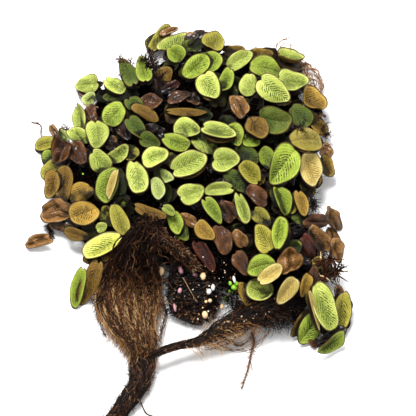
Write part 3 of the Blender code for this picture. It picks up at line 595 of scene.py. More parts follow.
def add_by_kind(shapes, name):
    """One piece for each kind of leaf, from lists of shapes by kind."""
    for kind, several in shapes.items():
        add_piece(name.format(kind), joined(several), kind_paint(kind), KINDS[kind].slot)


# Roots and hairs

def tubes(paths, radii, tint, sides):
    """Many closed tubes: paths of shape (count, steps, 3) and radii of shape (count, steps).

    Round each path point stand the corners of a regular polygon, square to the path, and each tube
    is closed by that polygon at both ends."""
    count, steps, _ = paths.shape
    along = unit(np.gradient(paths, axis=1))
    helper = np.where(np.abs(along[..., 2:]) < 0.8, (0.0, 0.0, 1.0), (1.0, 0.0, 0.0))
    first = unit(np.cross(along, helper))
    round_path = ring(first, np.cross(along, first), sides)
    points = off_ground(paths[:, :, None, :] + radii[:, :, None, None] * round_path, 0.02)
    index = np.arange(count * steps * sides).reshape(count, steps, sides)
    caps = np.concatenate([index[:, 0, ::-1], index[:, -1]])
    tints = np.repeat(np.broadcast_to(tint, (count, steps)).ravel(), sides)
    return Shape(points.reshape(-1, 3), [quads(index, np.roll(index, -1, axis=-1)), caps], {"tint": tints})


def tint_of(paths, rng, middle, spread, rise=0.0):
    """Tints about a middle, one for each root, that rise along it."""
    count, steps, _ = paths.shape
    own = middle + spread * rng.normal(size=(count, 1))
    return np.clip(own + rise * np.linspace(0, 1, steps)[None, :], 0, 1)


def two_tints(count, share, light, dark, rng):
    """Tints of roots, a share of them drawn from a light range and the rest from a dark one."""
    picked = rng.uniform(size=(count, 1)) < share
    return np.where(picked, rng.uniform(*light, (count, 1)), rng.uniform(*dark, (count, 1)))


def hair(paths, thick, thin, tint, rng, sides=3, fade=1.0):
    """Paths as tubes that shrink from thick to thin, in mm, with the power 1.5 of the way along, each a
    little thicker or thinner. A tint is an array, or a middle, spread and rise to draw it from."""
    count, steps, _ = paths.shape
    radii = thick * MM + (thin * MM - thick * MM) * np.linspace(0, 1, steps) ** 1.5
    radii = radii[None, :] * rng.uniform(0.7, 1.3, (count, 1))
    if isinstance(tint, tuple):
        tint = tint_of(paths, rng, *tint) * fade
    return tubes(paths, radii, tint, sides)


def wander(starts, ways, length, steps, turning, rng, pull=(0, 0, 0)):
    """Paths that grow from starts in given ways, as long as drawn from a range in mm: at each step the
    way turns a little at random and is pulled a little, and no point comes lower than the ground."""
    way = unit(ways)
    step = rng.uniform(*length, (len(starts), 1)) * MM / (steps - 1)
    points = [starts]
    for _ in range(steps - 1):
        way = unit(way + turning * rng.normal(size=way.shape) + np.asarray(pull))
        points.append(points[-1] + way * step)
    return off_ground(np.stack(points, axis=1), 0.15, HIGHEST)


def leaning(along, side, lean, rng):
    """Ways between two others, at angles from the first that are drawn from a range in degrees."""
    tilt = np.radians(rng.uniform(*lean, (len(along), 1)))
    return along * np.cos(tilt) + side * np.sin(tilt)


def guide_frame(guide, part):
    """A guide's middle, its ways along, across and out, and its half sizes, at parts of its length."""
    x, y, height, wide, high = np.moveaxis(through(guide, part), -1, 0)
    near, far = (on_grid(*np.moveaxis(through(guide, part + off)[..., :3], -1, 0)) for off in (-0.01, 0.01))
    along = unit(far - near)
    across = unit(np.cross(along, (0.0, 0.0, 1.0)))
    return on_grid(x, y, height), along, across, np.cross(across, along), wide * GRID, high * MM


def on_guide(guide, part, angle, depth):
    """Points round a guide: at an angle round its oval section, at a share of the way out."""
    middle, _, across, out, wide, high = guide_frame(guide, part)
    aside = (np.cos(angle) * depth * wide)[..., None] * across
    above = (np.sin(angle) * depth * high)[..., None] * out
    return off_ground(middle + aside + above, 0.15)


def parts_of(count, steps, start, end, rng):
    """Parts of a guide's length for roots that begin and end in two ranges."""
    first = rng.uniform(*start, (count, 1))
    return first + (rng.uniform(*end, (count, 1)) - first) * np.linspace(0, 1, steps)[None, :]


def strands_on(guide, count, steps, rng, start, end, twist, waver, depth):
    """Paths that run along a guide, each at its own angle and depth, wavering with slow sine waves. Also
    gives the parts of the guide's length at their points."""
    part = parts_of(count, steps, start, end, rng)
    angle = rng.uniform(0, math.tau, (count, 1)) + twist * part
    out = rng.uniform(*depth, (count, 1))
    phase = rng.uniform(0, math.tau, (count, 2))
    pace = rng.uniform(2, 6, (count, 2))
    angle = angle + waver * 2 * np.sin(pace[:, :1] * math.tau * part + phase[:, :1])
    out = out * (1 + waver * np.sin(pace[:, 1:] * math.tau * part + phase[:, 1:]))
    return on_guide(guide, part, angle, out), part


def roots_on(guide, count, steps, rng, start, end, waver, topmost=0.75):
    """Roots spread evenly over a guide's width, most of them on its upper side."""
    part = parts_of(count, steps, start, end, rng)
    angle = np.arccos(rng.uniform(-1, 1, (count, 1)))
    angle = angle * np.where(rng.uniform(size=(count, 1)) < topmost, 1, -1)
    out = rng.uniform(0.7, 1.0, (count, 1))
    phase = rng.uniform(0, math.tau, (count, 3))
    slow = np.sin(2.2 * math.tau * part + phase[:, :1]) + 0.5 * np.sin(5.1 * math.tau * part + phase[:, 1:2])
    out = out * (1 + 0.5 * waver * np.sin(4 * math.tau * part + phase[:, 2:]))
    return on_guide(guide, part, angle + waver * slow, out)


def hairs_off(guide, count, length, lean, rng, part_range=(0, 1), turning=0.4, pull=(0, 0, 0)):
    """Short hairs that leave a guide's surface, leaning from its run to its sides by an angle."""
    part = rng.uniform(*part_range, count)
    angle = rng.uniform(0, math.tau, count)
    starts = on_guide(guide, part, angle, rng.uniform(0.55, 1.0, count))
    _, along, across, out, _, _ = guide_frame(guide, part)
    outward = np.cos(angle)[:, None] * across + np.sin(angle)[:, None] * out
    away = unit(outward + 0.6 * rng.normal(size=(count, 3)))
    return wander(starts, leaning(along, away, lean, rng), length, 6, turning, rng, pull)


def side_hairs(paths, count, steps, length, lean, loose, rng, pull=(0, 0, 0), places=(0, 1)):
    """Fine hairs to both sides of roots, like the barbs of a feather: each leaves a point of a root at
    an angle to its run, to the left or right as seen from above. Loose is how far their ways differ,
    and how far they turn."""
    roots, root_steps, _ = paths.shape
    which = rng.integers(0, roots, count)
    far = rng.uniform(*places, count) * (root_steps - 1.001)
    low = far.astype(int)
    share = (far - low)[:, None]
    starts = paths[which, low] * (1 - share) + paths[which, low + 1] * share
    along = unit(paths[which, low + 1] - paths[which, low])
    side = unit(np.cross(along, (0.0, 0.0, 1.0))) * rng.choice([-1.0, 1.0], (count, 1))
    ways = leaning(along, side, lean, rng) + loose[0] * rng.normal(size=(count, 3))
    return wander(starts, ways, length, steps, loose[1], rng, pull)


def fuzz(roots, count, length, lean, loose, thick, thin, tint, rng, places=(0, 1), fading=False):
    """Side hairs of four points each, as tubes."""
    fine = side_hairs(roots, count, 4, length, lean, loose, rng, places=places)
    return hair(fine, thick, thin, tint, rng, fade=strand_fade(fine) if fading else 1.0)


def strand_fade(paths):
    """How golden a hair is by the row of its root: little above the strand, fully below it."""
    return np.interp(seen(paths[:, :1])[1], *STRAND_FADE)


def ellipsoids(centres, sizes, turns, rings, sides):
    """Small rounded grains: a ball of rings and sides, stretched to each size and turned about the
    vertical, with its two poles closed by triangles."""
    lift = np.pi * (np.arange(1, rings) / rings - 0.5)[:, None]
    turn = math.tau * np.arange(sides) / sides
    round_off = np.broadcast_arrays(np.cos(lift) * np.cos(turn), np.cos(lift) * np.sin(turn), np.sin(lift))
    ball = np.concatenate([np.stack(round_off, axis=-1).reshape(-1, 3), [(0, 0, -1), (0, 0, 1)]])
    x, y, z = np.moveaxis(ball[None] * sizes[:, None, :], -1, 0)
    cos, sin = np.cos(turns)[:, None], np.sin(turns)[:, None]
    points = np.stack([x * cos - y * sin, x * sin + y * cos, z], axis=-1) + centres[:, None, :]
    index = np.arange((rings - 1) * sides).reshape(rings - 1, sides)
    after = np.roll(index, -1, axis=1)
    low = np.stack([np.full(sides, len(ball) - 2), after[0], index[0]], axis=-1)
    high = np.stack([np.full(sides, len(ball) - 1), index[-1], after[-1]], axis=-1)
    offset = (np.arange(len(centres)) * len(ball))[:, None, None]
    walls = (quads(index, after) + offset).reshape(-1, 4)
    caps = (np.concatenate([low, high]) + offset).reshape(-1, 3)
    return Shape(off_ground(points, 0.05).reshape(-1, 3), [walls, caps], {})


# Finding what a leaf or a hair rests on

def mesh_arrays(mesh):
    """A mesh's corners and triangles as arrays."""
    points = np.empty(len(mesh.vertices) * 3, np.float32)
    mesh.vertices.foreach_get("co", points)
    mesh.calc_loop_triangles()
    triangles = np.empty(len(mesh.loop_triangles) * 3, np.int32)
    mesh.loop_triangles.foreach_get("vertices", triangles)
    return points.reshape(-1, 3).astype(float), triangles.reshape(-1, 3)


def tree_of(shape):
    """A search tree over a shape, to cast lines at and to test for overlap."""
    faces = [face for array in shape.faces for face in array.tolist()]
    return BVHTree.FromPolygons(shape.points.tolist(), faces)


def tree_over(things):
    """A search tree over mesh objects."""
    arrays = [mesh_arrays(thing.data) for thing in things]
    return tree_of(joined([Shape(points, [triangles], {}) for points, triangles in arrays]))


def leaf_tree(*words):
    """A search tree over the leaves built so far whose names hold one of some words."""
    things = bpy.context.scene.objects
    return tree_over([thing for thing in things if any(word in thing.name for word in words)])


def seen_point(tree, x, y):
    """Where the line of sight through a grid place meets a tree, and the distance up that line from
    the ground, or the ground itself."""
    ground = on_grid(x, y, 0)
    hit = tree.ray_cast(Vector(ground + TO_EYE * 0.1), Vector(-TO_EYE), 0.11)
    if hit[0] is None:
        return ground, 0.0
    point = np.array(hit[0])
    return point, float((point - ground) @ TO_EYE)


def highest_seen(trees, x, y):
    """What is seen at a grid place: the nearest to the eye of the points where trees are met."""
    return max((seen_point(tree, x, y) for tree in trees), key=lambda found: found[1])


def spread_over(node, count, rng):
    """Random points on a solid's surface, evenly by area, with their ways out."""
    points, triangles = mesh_arrays(frame["nodes"][node].data)
    a, b, c = (points[triangles[:, k]] for k in range(3))
    cross = np.cross(b - a, c - a)
    area = np.linalg.norm(cross, axis=1)
    pick = rng.choice(len(area), count, p=area / area.sum())
    first, second = rng.uniform(size=(2, count, 1))
    turn = first + second > 1
    first, second = np.where(turn, 1 - first, first), np.where(turn, 1 - second, second)
    return a[pick] + first * (b - a)[pick] + second * (c - a)[pick], unit(cross[pick])


def box_middle(node):
    """The middle of a solid's box."""
    low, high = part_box(node)
    return (np.array(low) + np.array(high)) / 2


def node_lift(points, node):
    """How far up the line of sight a solid lies over the same points laid out at their listed heights."""
    return float((box_middle(node) - (points.min(0) + points.max(0)) / 2) @ TO_EYE)


def cleared(paths, rng, kept=0.08, grains=()):
    """Paths without most of those that, as seen, pass close over a leaf, and without those that pass
    over a grain."""
    tree = leaf_tree("_blade_", "_lower_sides", "_leaves_between")
    down = Vector(-TO_EYE)
    hits = [tree.ray_cast(Vector(point), down, HAIR_CLEARANCE)[0] for point in paths.reshape(-1, 3)]
    over = np.array([hit is not None for hit in hits]).reshape(paths.shape[:2]).any(axis=1)
    paths = paths[~over | (rng.uniform(size=len(paths)) < kept)]
    places = np.stack(seen(paths), axis=-1)
    clear = np.ones(len(paths), bool)
    for x, y, radius in grains:
        clear &= (np.linalg.norm(places - (x, y), axis=-1) > radius).all(axis=1)
    return paths[clear]


# Leaves

def middle_of(leaf):
    """The grid place of a leaf's middle."""
    return (leaf.x0 + leaf.x1) / 2, (leaf.y0 + leaf.y1) / 2


def enlarged(leaf, growth):
    """A leaf grown about its middle, as its neighbours hide its edge."""
    x, y = middle_of(leaf)
    right, down = (leaf.x1 - leaf.x0) / 2 * growth, (leaf.y1 - leaf.y0) / 2 * growth
    return leaf._replace(x0=x - right, y0=y - down, x1=x + right, y1=y + down, width=leaf.width * growth)


def leaf_frame(leaf):
    """A leaf's stalk end, its ways along, across and out of its plane, and its real length and width,
    from how it is seen and how it leans."""
    seen_run = (leaf.x1 - leaf.x0) * GRID * RIGHT + (leaf.y0 - leaf.y1) * GRID * UP
    seen_way = unit(seen_run)
    x, y = middle_of(leaf)
    right = leaf.right + EDGE_LEAN * (x - LEAN_CENTRE[0]) / EDGE_SPAN
    away = leaf.away + EDGE_LEAN * (LEAN_CENTRE[1] - y) / EDGE_SPAN + LEAN_AWAY
    normal = unit(TO_EYE + RIGHT * math.tan(math.radians(right)) + UP * math.tan(math.radians(away)))
    along = seen_way + TO_EYE * (-(seen_way @ normal) / (TO_EYE @ normal))
    length = np.linalg.norm(seen_run) * np.linalg.norm(along)
    along = unit(along)
    across = np.cross(along, normal)
    width = leaf.width * GRID / abs(across @ np.cross(seen_way, TO_EYE))
    return on_grid(leaf.x0, leaf.y0, 0), along, across, normal, length, width


def section(x, bend, roll, crease=0.45):
    """A leaf's cross-section: a line of length 1 to each side that turns by bend in all, mostly near
    its midrib, the whole turned by roll. The turn is added up along the line in small steps."""
    fine = np.linspace(-1, 1, 121)
    angle = math.radians(roll) + math.radians(bend) / 2 * (np.tanh(fine / crease) / np.tanh(1 / crease))
    line = []
    for slope in (np.cos(angle), np.sin(angle)):
        run = np.concatenate([[0], np.cumsum((slope[1:] + slope[:-1]) / 2 * (fine[1] - fine[0]))])
        line.append(np.interp(x, fine, run - np.interp(0, fine, run)))
    return line


def round_grid(cells):
    """A square grid rounded to a disc: x = u times the root of 1 - v*v/2, and y the same turned."""
    side = np.linspace(-1, 1, cells + 1)
    u, v = np.meshgrid(side, side)
    return u * np.sqrt(1 - v * v / 2), v * np.sqrt(1 - u * u / 2)


def leaf_surface(leaf, x, y, rng):
    """The middle surface of a leaf over disc places x, y, from its stalk end at lift 0.

    Its outline is an egg with a small notch and slow waves, its midrib a shallow bow. Its height is a
    fold that rises with the distance from the midrib, a cup that rises with the square of the distance
    from the middle, halves that puff up beside a groove, a waver towards the rim, and a small lip. A
    withered leaf is crumpled, and a bent one follows its section instead of fold and cup."""
    base, along, across, normal, length, width = leaf_frame(leaf)
    radius = np.sqrt(x * x + y * y)
    turn = np.arctan2(y, x)
    phase = rng.uniform(0, math.tau, 8)
    bow = rng.uniform(-0.17, 0.17)
    lopsided = rng.uniform(-0.22, 0.22)
    withered = float(KINDS[leaf.kind].slot == "leaf_brown")
    notch = 1.4 * NOTCH * rng.uniform(0.2, 1.0) ** 2 * np.exp(-((x / NOTCH_WIDTH) ** 2))
    notch = notch * np.maximum(0, -y) ** 3
    waves = 0.06 * np.sin(2 * turn + phase[0]) + 0.06 * np.sin(3 * turn + phase[1])
    waves = waves + 0.02 * np.sin(5 * turn + phase[4])
    outline = 1 + radius * (waves * (1 + 0.5 * withered))
    curl = 0.75 * rng.uniform(0, 1) ** 1.6
    off_curl = np.angle(np.exp(1j * (turn - rng.uniform(0, math.tau))))
    curled = curl * radius ** 4 * np.exp(-((off_curl / 0.75) ** 2))
    aside = x * (1 - EGG * y) * outline + bow * (y * y - 0.4)
    ahead = ((1 + y * outline + notch) * length / 2)[..., None] * along
    waver = 0.05 * radius ** 3 * np.sin(2 * turn + phase[2])
    waver += 0.045 * radius ** 4 * np.sin(3 * turn + phase[3])
    waver += 0.02 * radius ** 4 * np.sin(7 * turn + phase[4])
    puff = 0.1 * np.sin(math.pi * np.minimum(np.abs(x), 1)) * np.clip(1 - y * y, 0, 1)
    lip = 0.07 * np.clip((radius - 0.86) / 0.14, 0, 1) ** 2
    crumple = np.sin(4.2 * x + 2.1 * y + phase[5]) + np.sin(5.5 * y - 2.4 * x + phase[6])
    crumple = crumple + 0.6 * np.sin(9 * x + phase[7])
    rest = waver * (1 + 1.5 * withered) + puff * (1 - withered) + lip + 0.13 * withered * crumple + curled
    rest = rest + lopsided * x * np.abs(x)
    if leaf.bend or leaf.roll:
        seen_way = unit((leaf.x1 - leaf.x0) * RIGHT + (leaf.y0 - leaf.y1) * UP)
        seen_side = np.cross(seen_way, TO_EYE)
        flat, raised = section(np.linspace(-1, 1, 41), leaf.bend, leaf.roll)
        reach = flat * (across @ seen_side) + raised * (normal @ seen_side)
        size = leaf.width * GRID / (reach.max() - reach.min())
        out, height = section(aside, leaf.bend, leaf.roll)
        height = height - 0.35 * math.sin(math.radians(leaf.bend) / 2) + 0.6 * rest
        shift = -(reach.max() + reach.min()) / 2 * size * seen_side
        return base + shift + ahead + size * (out[..., None] * across + height[..., None] * normal)
    height = leaf.fold * (np.sqrt(x * x + 0.01) - 0.1) + leaf.cup * radius ** 2 + rest
    if leaf.cup > DEEP_CUP:
        height = height - 0.8 * leaf.cup
    return base + ahead + width / 2 * (aside[..., None] * across + height[..., None] * normal)


def leaf_shell(leaf, cells, thickness, rng, papillae=False, shade=0.0):
    """One leaf as a closed shell: its middle surface moved out to both sides by half its thickness,
    which falls to nothing at the rim, where both sides share their points. Rows of small spikes stand
    in chevrons on the middle of its upper side."""
    x, y = round_grid(cells)
    surface = leaf_surface(leaf, x, y, rng)
    normal = unit(np.cross(np.gradient(surface, axis=1), np.gradient(surface, axis=0)))
    radius = np.sqrt(x * x + y * y)
    ripple = 0.03 * np.sin(8 * math.pi * (y - 0.5 * np.abs(x))) * np.clip(1.1 - radius, 0, 1)
    ripple = ripple - 0.35 * np.exp(-((x / 0.06) ** 2)) * np.clip(1 - y * y, 0, 1)
    half = thickness / 2 * np.sqrt(np.clip(1 - radius ** 8, 0, 1))
    upper = surface + normal * (half + thickness * ripple)[..., None]
    lower = surface - normal * half[..., None]
    size = cells + 1
    inside = np.zeros((size, size), bool)
    inside[1:-1, 1:-1] = True
    top = np.arange(size * size).reshape(size, size)
    under = top.copy()
    under[inside] = size * size + np.arange(inside.sum())
    points = np.concatenate([np.where(inside[..., None], upper, surface).reshape(-1, 3), lower[inside]])
    flat = np.stack([0.5 + 0.5 * x, 0.5 + 0.5 * y], axis=-1)
    # A leaf's own tone, drawn at random, added to the painted shade it is given
    shade = shade + rng.uniform(-1, 1)
    values = {
        "blade": np.concatenate([flat.reshape(-1, 2), flat[inside]]),
        "under": np.concatenate([np.where(inside, 0.0, 0.45).ravel(), np.ones(inside.sum())]),
        "rim": np.concatenate([radius.ravel(), radius[inside]]),
        "shade": np.full(len(points), shade),
        "speck": np.zeros(len(points)),
        "marks": np.full(len(points), rng.uniform(0.1, 1.0)),
    }
    faces = [quads(top[:, :-1], top[:, 1:]), quads(under[:, :-1], under[:, 1:])[:, TURNED_OVER]]
    shell = Shape(points, faces, values)
    if not papillae:
        return shell
    row, column = np.meshgrid(np.arange(size), np.arange(size), indexing="ij")
    chevron = (row - (np.abs(column - cells // 2) * 0.55).astype(int)) % 2 == 0
    chosen = chevron & (column % 2 == 0) & (np.abs(x) < 0.62) & (np.abs(y - 0.05) < 0.66) & (np.abs(x) > 0.05)
    chosen &= rng.uniform(size=chosen.shape) < 0.8
    return joined([shell, spikes(upper[chosen], normal[chosen], flat[chosen], shade, rng)])


def spikes(feet, ways, flat, shade, rng):
    """Small three-sided spikes: a triangle of points round each foot, drawn up to one point."""
    count = len(feet)
    height = rng.uniform(0.2, 0.4, (count, 1)) * MM
    first = unit(np.cross(ways, RIGHT + 0.01))
    foot = feet[:, None, :] + 0.13 * MM * ring(first, np.cross(ways, first), 3) - 0.1 * MM * ways[:, None, :]
    tip = feet + ways * height + 0.08 * MM * rng.normal(size=(count, 3))
    points = np.concatenate([foot, tip[:, None, :]], axis=1).reshape(-1, 3)
    sides = np.array([(0, 1, 3), (1, 2, 3), (2, 0, 3), (2, 1, 0)])[None] + 4 * np.arange(count)[:, None, None]
    values = {"under": 0.0, "rim": 0.3, "shade": shade, "speck": 1.0, "marks": 1.0}
    values = {name: np.full(len(points), value) for name, value in values.items()}
    return Shape(points, [sides.reshape(-1, 3)], {"blade": np.repeat(flat, 4, axis=0), **values})


def lift_of(leaf, node):
    """How far up the line of sight a leaf's solid was laid: its box's middle against that of the same
    leaf at lift 0."""
    x, y = round_grid(4)
    base, along, across, normal, length, width = leaf_frame(leaf)
    notch = NOTCH * np.exp(-((x / 0.3) ** 2)) * np.maximum(0, -y) ** 2
    height = leaf.fold * np.abs(x) + leaf.cup * (x * x + y * y)
    points = (
        base
        + ((1 + y + notch) * length / 2)[..., None] * along
        + (x * (1 - EGG * y) * width / 2)[..., None] * across
        + (height * width / 2)[..., None] * normal
    )
    return node_lift(points.reshape(-1, 3), node)


def kept_above(shape):
    """A shape moved along the line of sight until no point is below the ground or above the clump."""
    rise = max(0.0, LEAF_LOWEST - shape.points[:, 2].min())
    fall = max(0.0, shape.points[:, 2].max() + rise - HIGHEST)
    kept = moved(shape, TO_EYE * ((rise - fall) / TO_EYE[2]))
    if kept.points[:, 2].min() < 0:
        raise RuntimeError("a leaf is taller than the clump")
    return kept


def lower_onto(leaf, trees):
    """The lift at which a leaf, let down along the line of sight, first meets any of the trees."""
    shape = leaf_shell(leaf, PROBE_CELLS, PROBE_THICKNESS, default_rng(SEED))

    def meets(lift):
        """Whether the leaf at a lift touches the ground or a tree."""
        lifted = moved(shape, TO_EYE * lift)
        return lifted.points[:, 2].min() < 0 or any(tree_of(lifted).overlap(tree) for tree in trees)

    lift = LET_DOWN_FROM
    for step in LET_DOWN_STEPS:
        while not meets(lift - step):
            lift -= step
    return lift


def sinking(probe, trees, most):
    """How far a leaf has to go down the line of sight so that none of its points lies over another
    leaf, or nothing if that is further than allowed."""
    need = 0.0
    for point in probe.points:
        for tree in trees:
            depth = tree.ray_cast(Vector(point), Vector(-TO_EYE), DEEPEST_LOOK)[3]
            if depth is not None:
                need = max(need, depth + LEAF_GAP)
    return need if need <= most else 0.0


# Paints

class Paint:
    """A material and short ways to add its nodes."""

    def __init__(self, name):
        self.material = bpy.data.materials.new(name)
        self.material.use_nodes = True
        self.tree = self.material.node_tree
        self.shader = self.tree.nodes["Principled BSDF"]

    def add(self, kind, **inputs):
        """A node of a kind, with some of its inputs linked or set."""
        node = self.tree.nodes.new("ShaderNode" + kind)
        for name, value in inputs.items():
            self.wire(value, node.inputs[name.replace("_", " ")])
        return node

    def wire(self, source, target):
        """Link a node's output, or set a plain value or a colour in hundredths as seen."""
        if isinstance(source, bpy.types.NodeSocket):
            self.tree.links.new(source, target)
        else:
            target.default_value = tone(source) if isinstance(source, np.ndarray) else source

    def put(self, label, value):
        """Set or link one of the shader's own sockets."""
        self.wire(value, self.shader.inputs[label])

    def attribute(self, name):
        """A value kept on each point of the piece."""
        node = self.add("Attribute")
        node.attribute_name = name
        return node.outputs["Fac"]

    def math(self, how, a, b=0.0):
        """One sum of two values."""
        node = self.add("Math")
        node.operation = how
        self.wire(a, node.inputs[0])
        self.wire(b, node.inputs[1])
        return node.outputs[0]

    def times(self, a, b):
        """One value times another."""
        return self.math("MULTIPLY", a, b)

    def plus(self, a, b):
        """One value and another."""
        return self.math("ADD", a, b)

    def swing(self, value, size):
        """A cloudy value brought to swing about nothing."""
        return self.times(self.math("SUBTRACT", value, 0.5), size)

    def apart(self, value, middle):
        """How far a value is from a middle."""
        return self.math("ABSOLUTE", self.math("SUBTRACT", value, middle))

    def between(self, value, low, high, start=0.0, end=1.0):
        """A value that eases from start to end as another goes from low to high."""
        node = self.add("MapRange", From_Min=low, From_Max=high, To_Min=start, To_Max=end, Value=value)
        node.interpolation_type = "SMOOTHSTEP"
        return node.outputs["Result"]

    def mix(self, share, a, b):
        """A colour between two others."""
        node = self.add("Mix")
        node.data_type = "RGBA"
        for index, value in ((0, share), (6, a), (7, b)):
            self.wire(value, node.inputs[index])
        return node.outputs[2]

    def place(self):
        """The piece's own coordinates."""
        return self.add("TexCoord").outputs["Object"]

    def noise(self, vector, scale, detail=3.0, rough=0.6):
        """Cloudy values from 0 to 1."""
        return self.add("TexNoise", Vector=vector, Scale=scale, Detail=detail, Roughness=rough).outputs["Fac"]

    def blade(self):
        """A leaf's own places: across from 0 to 1, and along from 0 to 1."""
        node = self.add("UVMap")
        node.uv_map = "blade"
        return self.add("SeparateXYZ", Vector=node.outputs[0]).outputs[:2]

    def ramp(self, value, stops):
        """A run of colours over a value, from rows of a place and hundredths as seen."""
        node = self.add("ValToRGB")
        band = node.color_ramp
        while len(band.elements) < len(stops):
            band.elements.new(0.5)
        for element, (where, *hundredths) in zip(band.elements, stops):
            element.position = where
            element.color = tone(hundredths)
        self.wire(value, node.inputs["Fac"])
        return node.outputs["Color"]

    def bump(self, height, strength, depth):
        """Small relief in the surface."""
        node = self.add("Bump", Strength=strength, Distance=depth, Height=height)
        self.put("Normal", node.outputs["Normal"])


def kind_paint(kind):
    """The paint of a kind of leaf, made once."""
    return bpy.data.materials.get(f"{kind}_leaf_skin") or leaf_paint(kind)


def leaf_paint(kind):
    """A leaf's skin: a main tone in pale and full clouds, dark dashes in chevrons off the midrib that are
    partly its own specks and partly painted shade between its rows of papillae, a line of painted shade in
    the groove of the midrib, fine side veins, a thin pale rim, blotches where it ages, and a browner
    underside. Each point's own tone, and its painted shade where it lies low or other leaves hide it, come
    from the shade value kept on the point."""
    main, edge, mark, under = (np.array(hundredths) for hundredths in KINDS[kind][:4])
    withered = KINDS[kind].slot == "leaf_brown"
    paint = Paint(f"{kind}_leaf_skin")
    times, plus, between, mix, noise = paint.times, paint.plus, paint.between, paint.mix, paint.noise
    u, v = paint.blade()
    place = paint.place()
    shade = paint.attribute("shade")
    aside = times(paint.apart(u, 0.5), 2.0)
    chevron = paint.math("SUBTRACT", v, times(aside, 0.36))
    chevron = plus(chevron, times(noise(place, 500.0, 2.0), 0.11))
    vein = paint.math("SINE", times(chevron, 80.0))
    clouds = noise(place, 240.0)
    fine = noise(place, 1900.0, 2.0)
    # Dashes, partly the leaf's own specks and partly painted shade between its rows of papillae, are
    # strongest in the leaf's heart and where clouds help them
    middle = between(aside, 0.1, 0.8, 1.0, 0.0)
    heart = times(middle, between(paint.apart(v, 0.56), 0.12, 0.44, 1.0, 0.0))
    patchy = plus(heart, paint.swing(clouds, 0.9))
    strength = between(paint.attribute("marks"), 0.0, 1.0, 0.55, 1.0)
    rows = between(plus(vein, times(fine, 1.2)), 0.5, 1.0)
    breaks = between(noise(place, 1300.0, 1.0), 0.4, 0.5)
    dashes = times(times(rows, breaks), between(patchy, 0.0, 0.45))
    body = mix(between(clouds, 0.38, 0.64), main, main + 0.3 * (edge - main) + 3)
    # Each leaf's own tone at random, made darker by painted shade where the leaf lies low or hidden
    body = mix(between(shade, -0.6, 1.0), body, mix(clouds, 0.72 * main, main))
    body = mix(times(times(heart, strength), 0.3), body, mark)
    body = mix(between(noise(place, 2600.0, 1.0), 0.56, 0.66, 0.0, 0.45), body, mark)
    body = mix(times(between(vein, -0.9, 0.9), 0.07), body, mark)
    body = mix(times(dashes, strength), body, mark)
    # Painted shade in the groove of the midrib: a dark line along it
    body = mix(between(aside, 0.0, 0.06, 0.4, 0.0), body, mark)
    rim = paint.attribute("rim")
    body = mix(times(between(rim, 0.84, 0.94), between(clouds, 0.35, 0.6, 0.1, 0.6)), body, edge)
    aged = between(noise(place, 330.0, 4.0, 0.75), 0.46 if withered else 0.6, 0.7)
    body = mix(times(aged, 0.7 if withered else 0.5), body, under)
    if withered:
        stains = between(noise(place, 150.0, 3.0), 0.46, 0.6, 0.0, 0.15 if kind == "tan" else 0.6)
        body = mix(stains, body, 0.3 * main)
        body = mix(between(noise(place, 210.0, 4.0, 0.7), 0.57, 0.68, 0.0, 0.55), body, edge)
    body = mix(between(rim, 0.92, 0.98, 0.0, 0.9), body, 0.62 * under)
    below = mix(clouds, under, 0.45 * under)
    below = mix(between(fine, 0.45, 0.6, 0.0, 0.5), below, mark)
    colour = mix(between(paint.attribute("under"), 0.35, 0.8), body, below)
    colour = mix(times(paint.attribute("speck"), 0.45), colour, mark)
    # Painted shade: points that lie deep or that other leaves hide darken towards the mark tone
    paint.put("Base Color", mix(between(shade, 1.1, 3.2, 0.0, 0.95), colour, 0.3 * mark))
    paint.put("Roughness", between(clouds, 0.3, 0.7, 0.36, 0.6))
    paint.put("Specular IOR Level", 0.15)
    if withered:
        paint.put("Coat Weight", 0.3)
        paint.put("Coat Roughness", 0.16)
    paint.bump(plus(times(vein, 0.35), fine), 0.8, 0.25 * MM)
    return paint.material


def root_paint(name, stops, roughness, level):
    """Root hairs: a run of tones over each hair's tint, a little uneven along it, and moist."""
    paint = Paint(name)
    grain = paint.noise(paint.place(), 900.0)
    paint.put("Base Color", paint.ramp(paint.plus(paint.attribute("tint"), paint.swing(grain, 0.3)), stops))
    paint.put("Roughness", roughness)
    paint.put("Specular IOR Level", level)
    paint.bump(grain, 0.4, 0.1 * MM)
    return paint.material


def grain_paint(name, main, other):
    """A caught grain: two tones in fine clouds, with a pitted surface."""
    paint = Paint(name)
    clouds = paint.noise(paint.place(), 1400.0)
    paint.put("Base Color", paint.mix(clouds, np.array(main), np.array(other)))
    paint.put("Roughness", 0.5)
    paint.bump(clouds, 0.5, 0.15 * MM)
    return paint.material


# The pieces

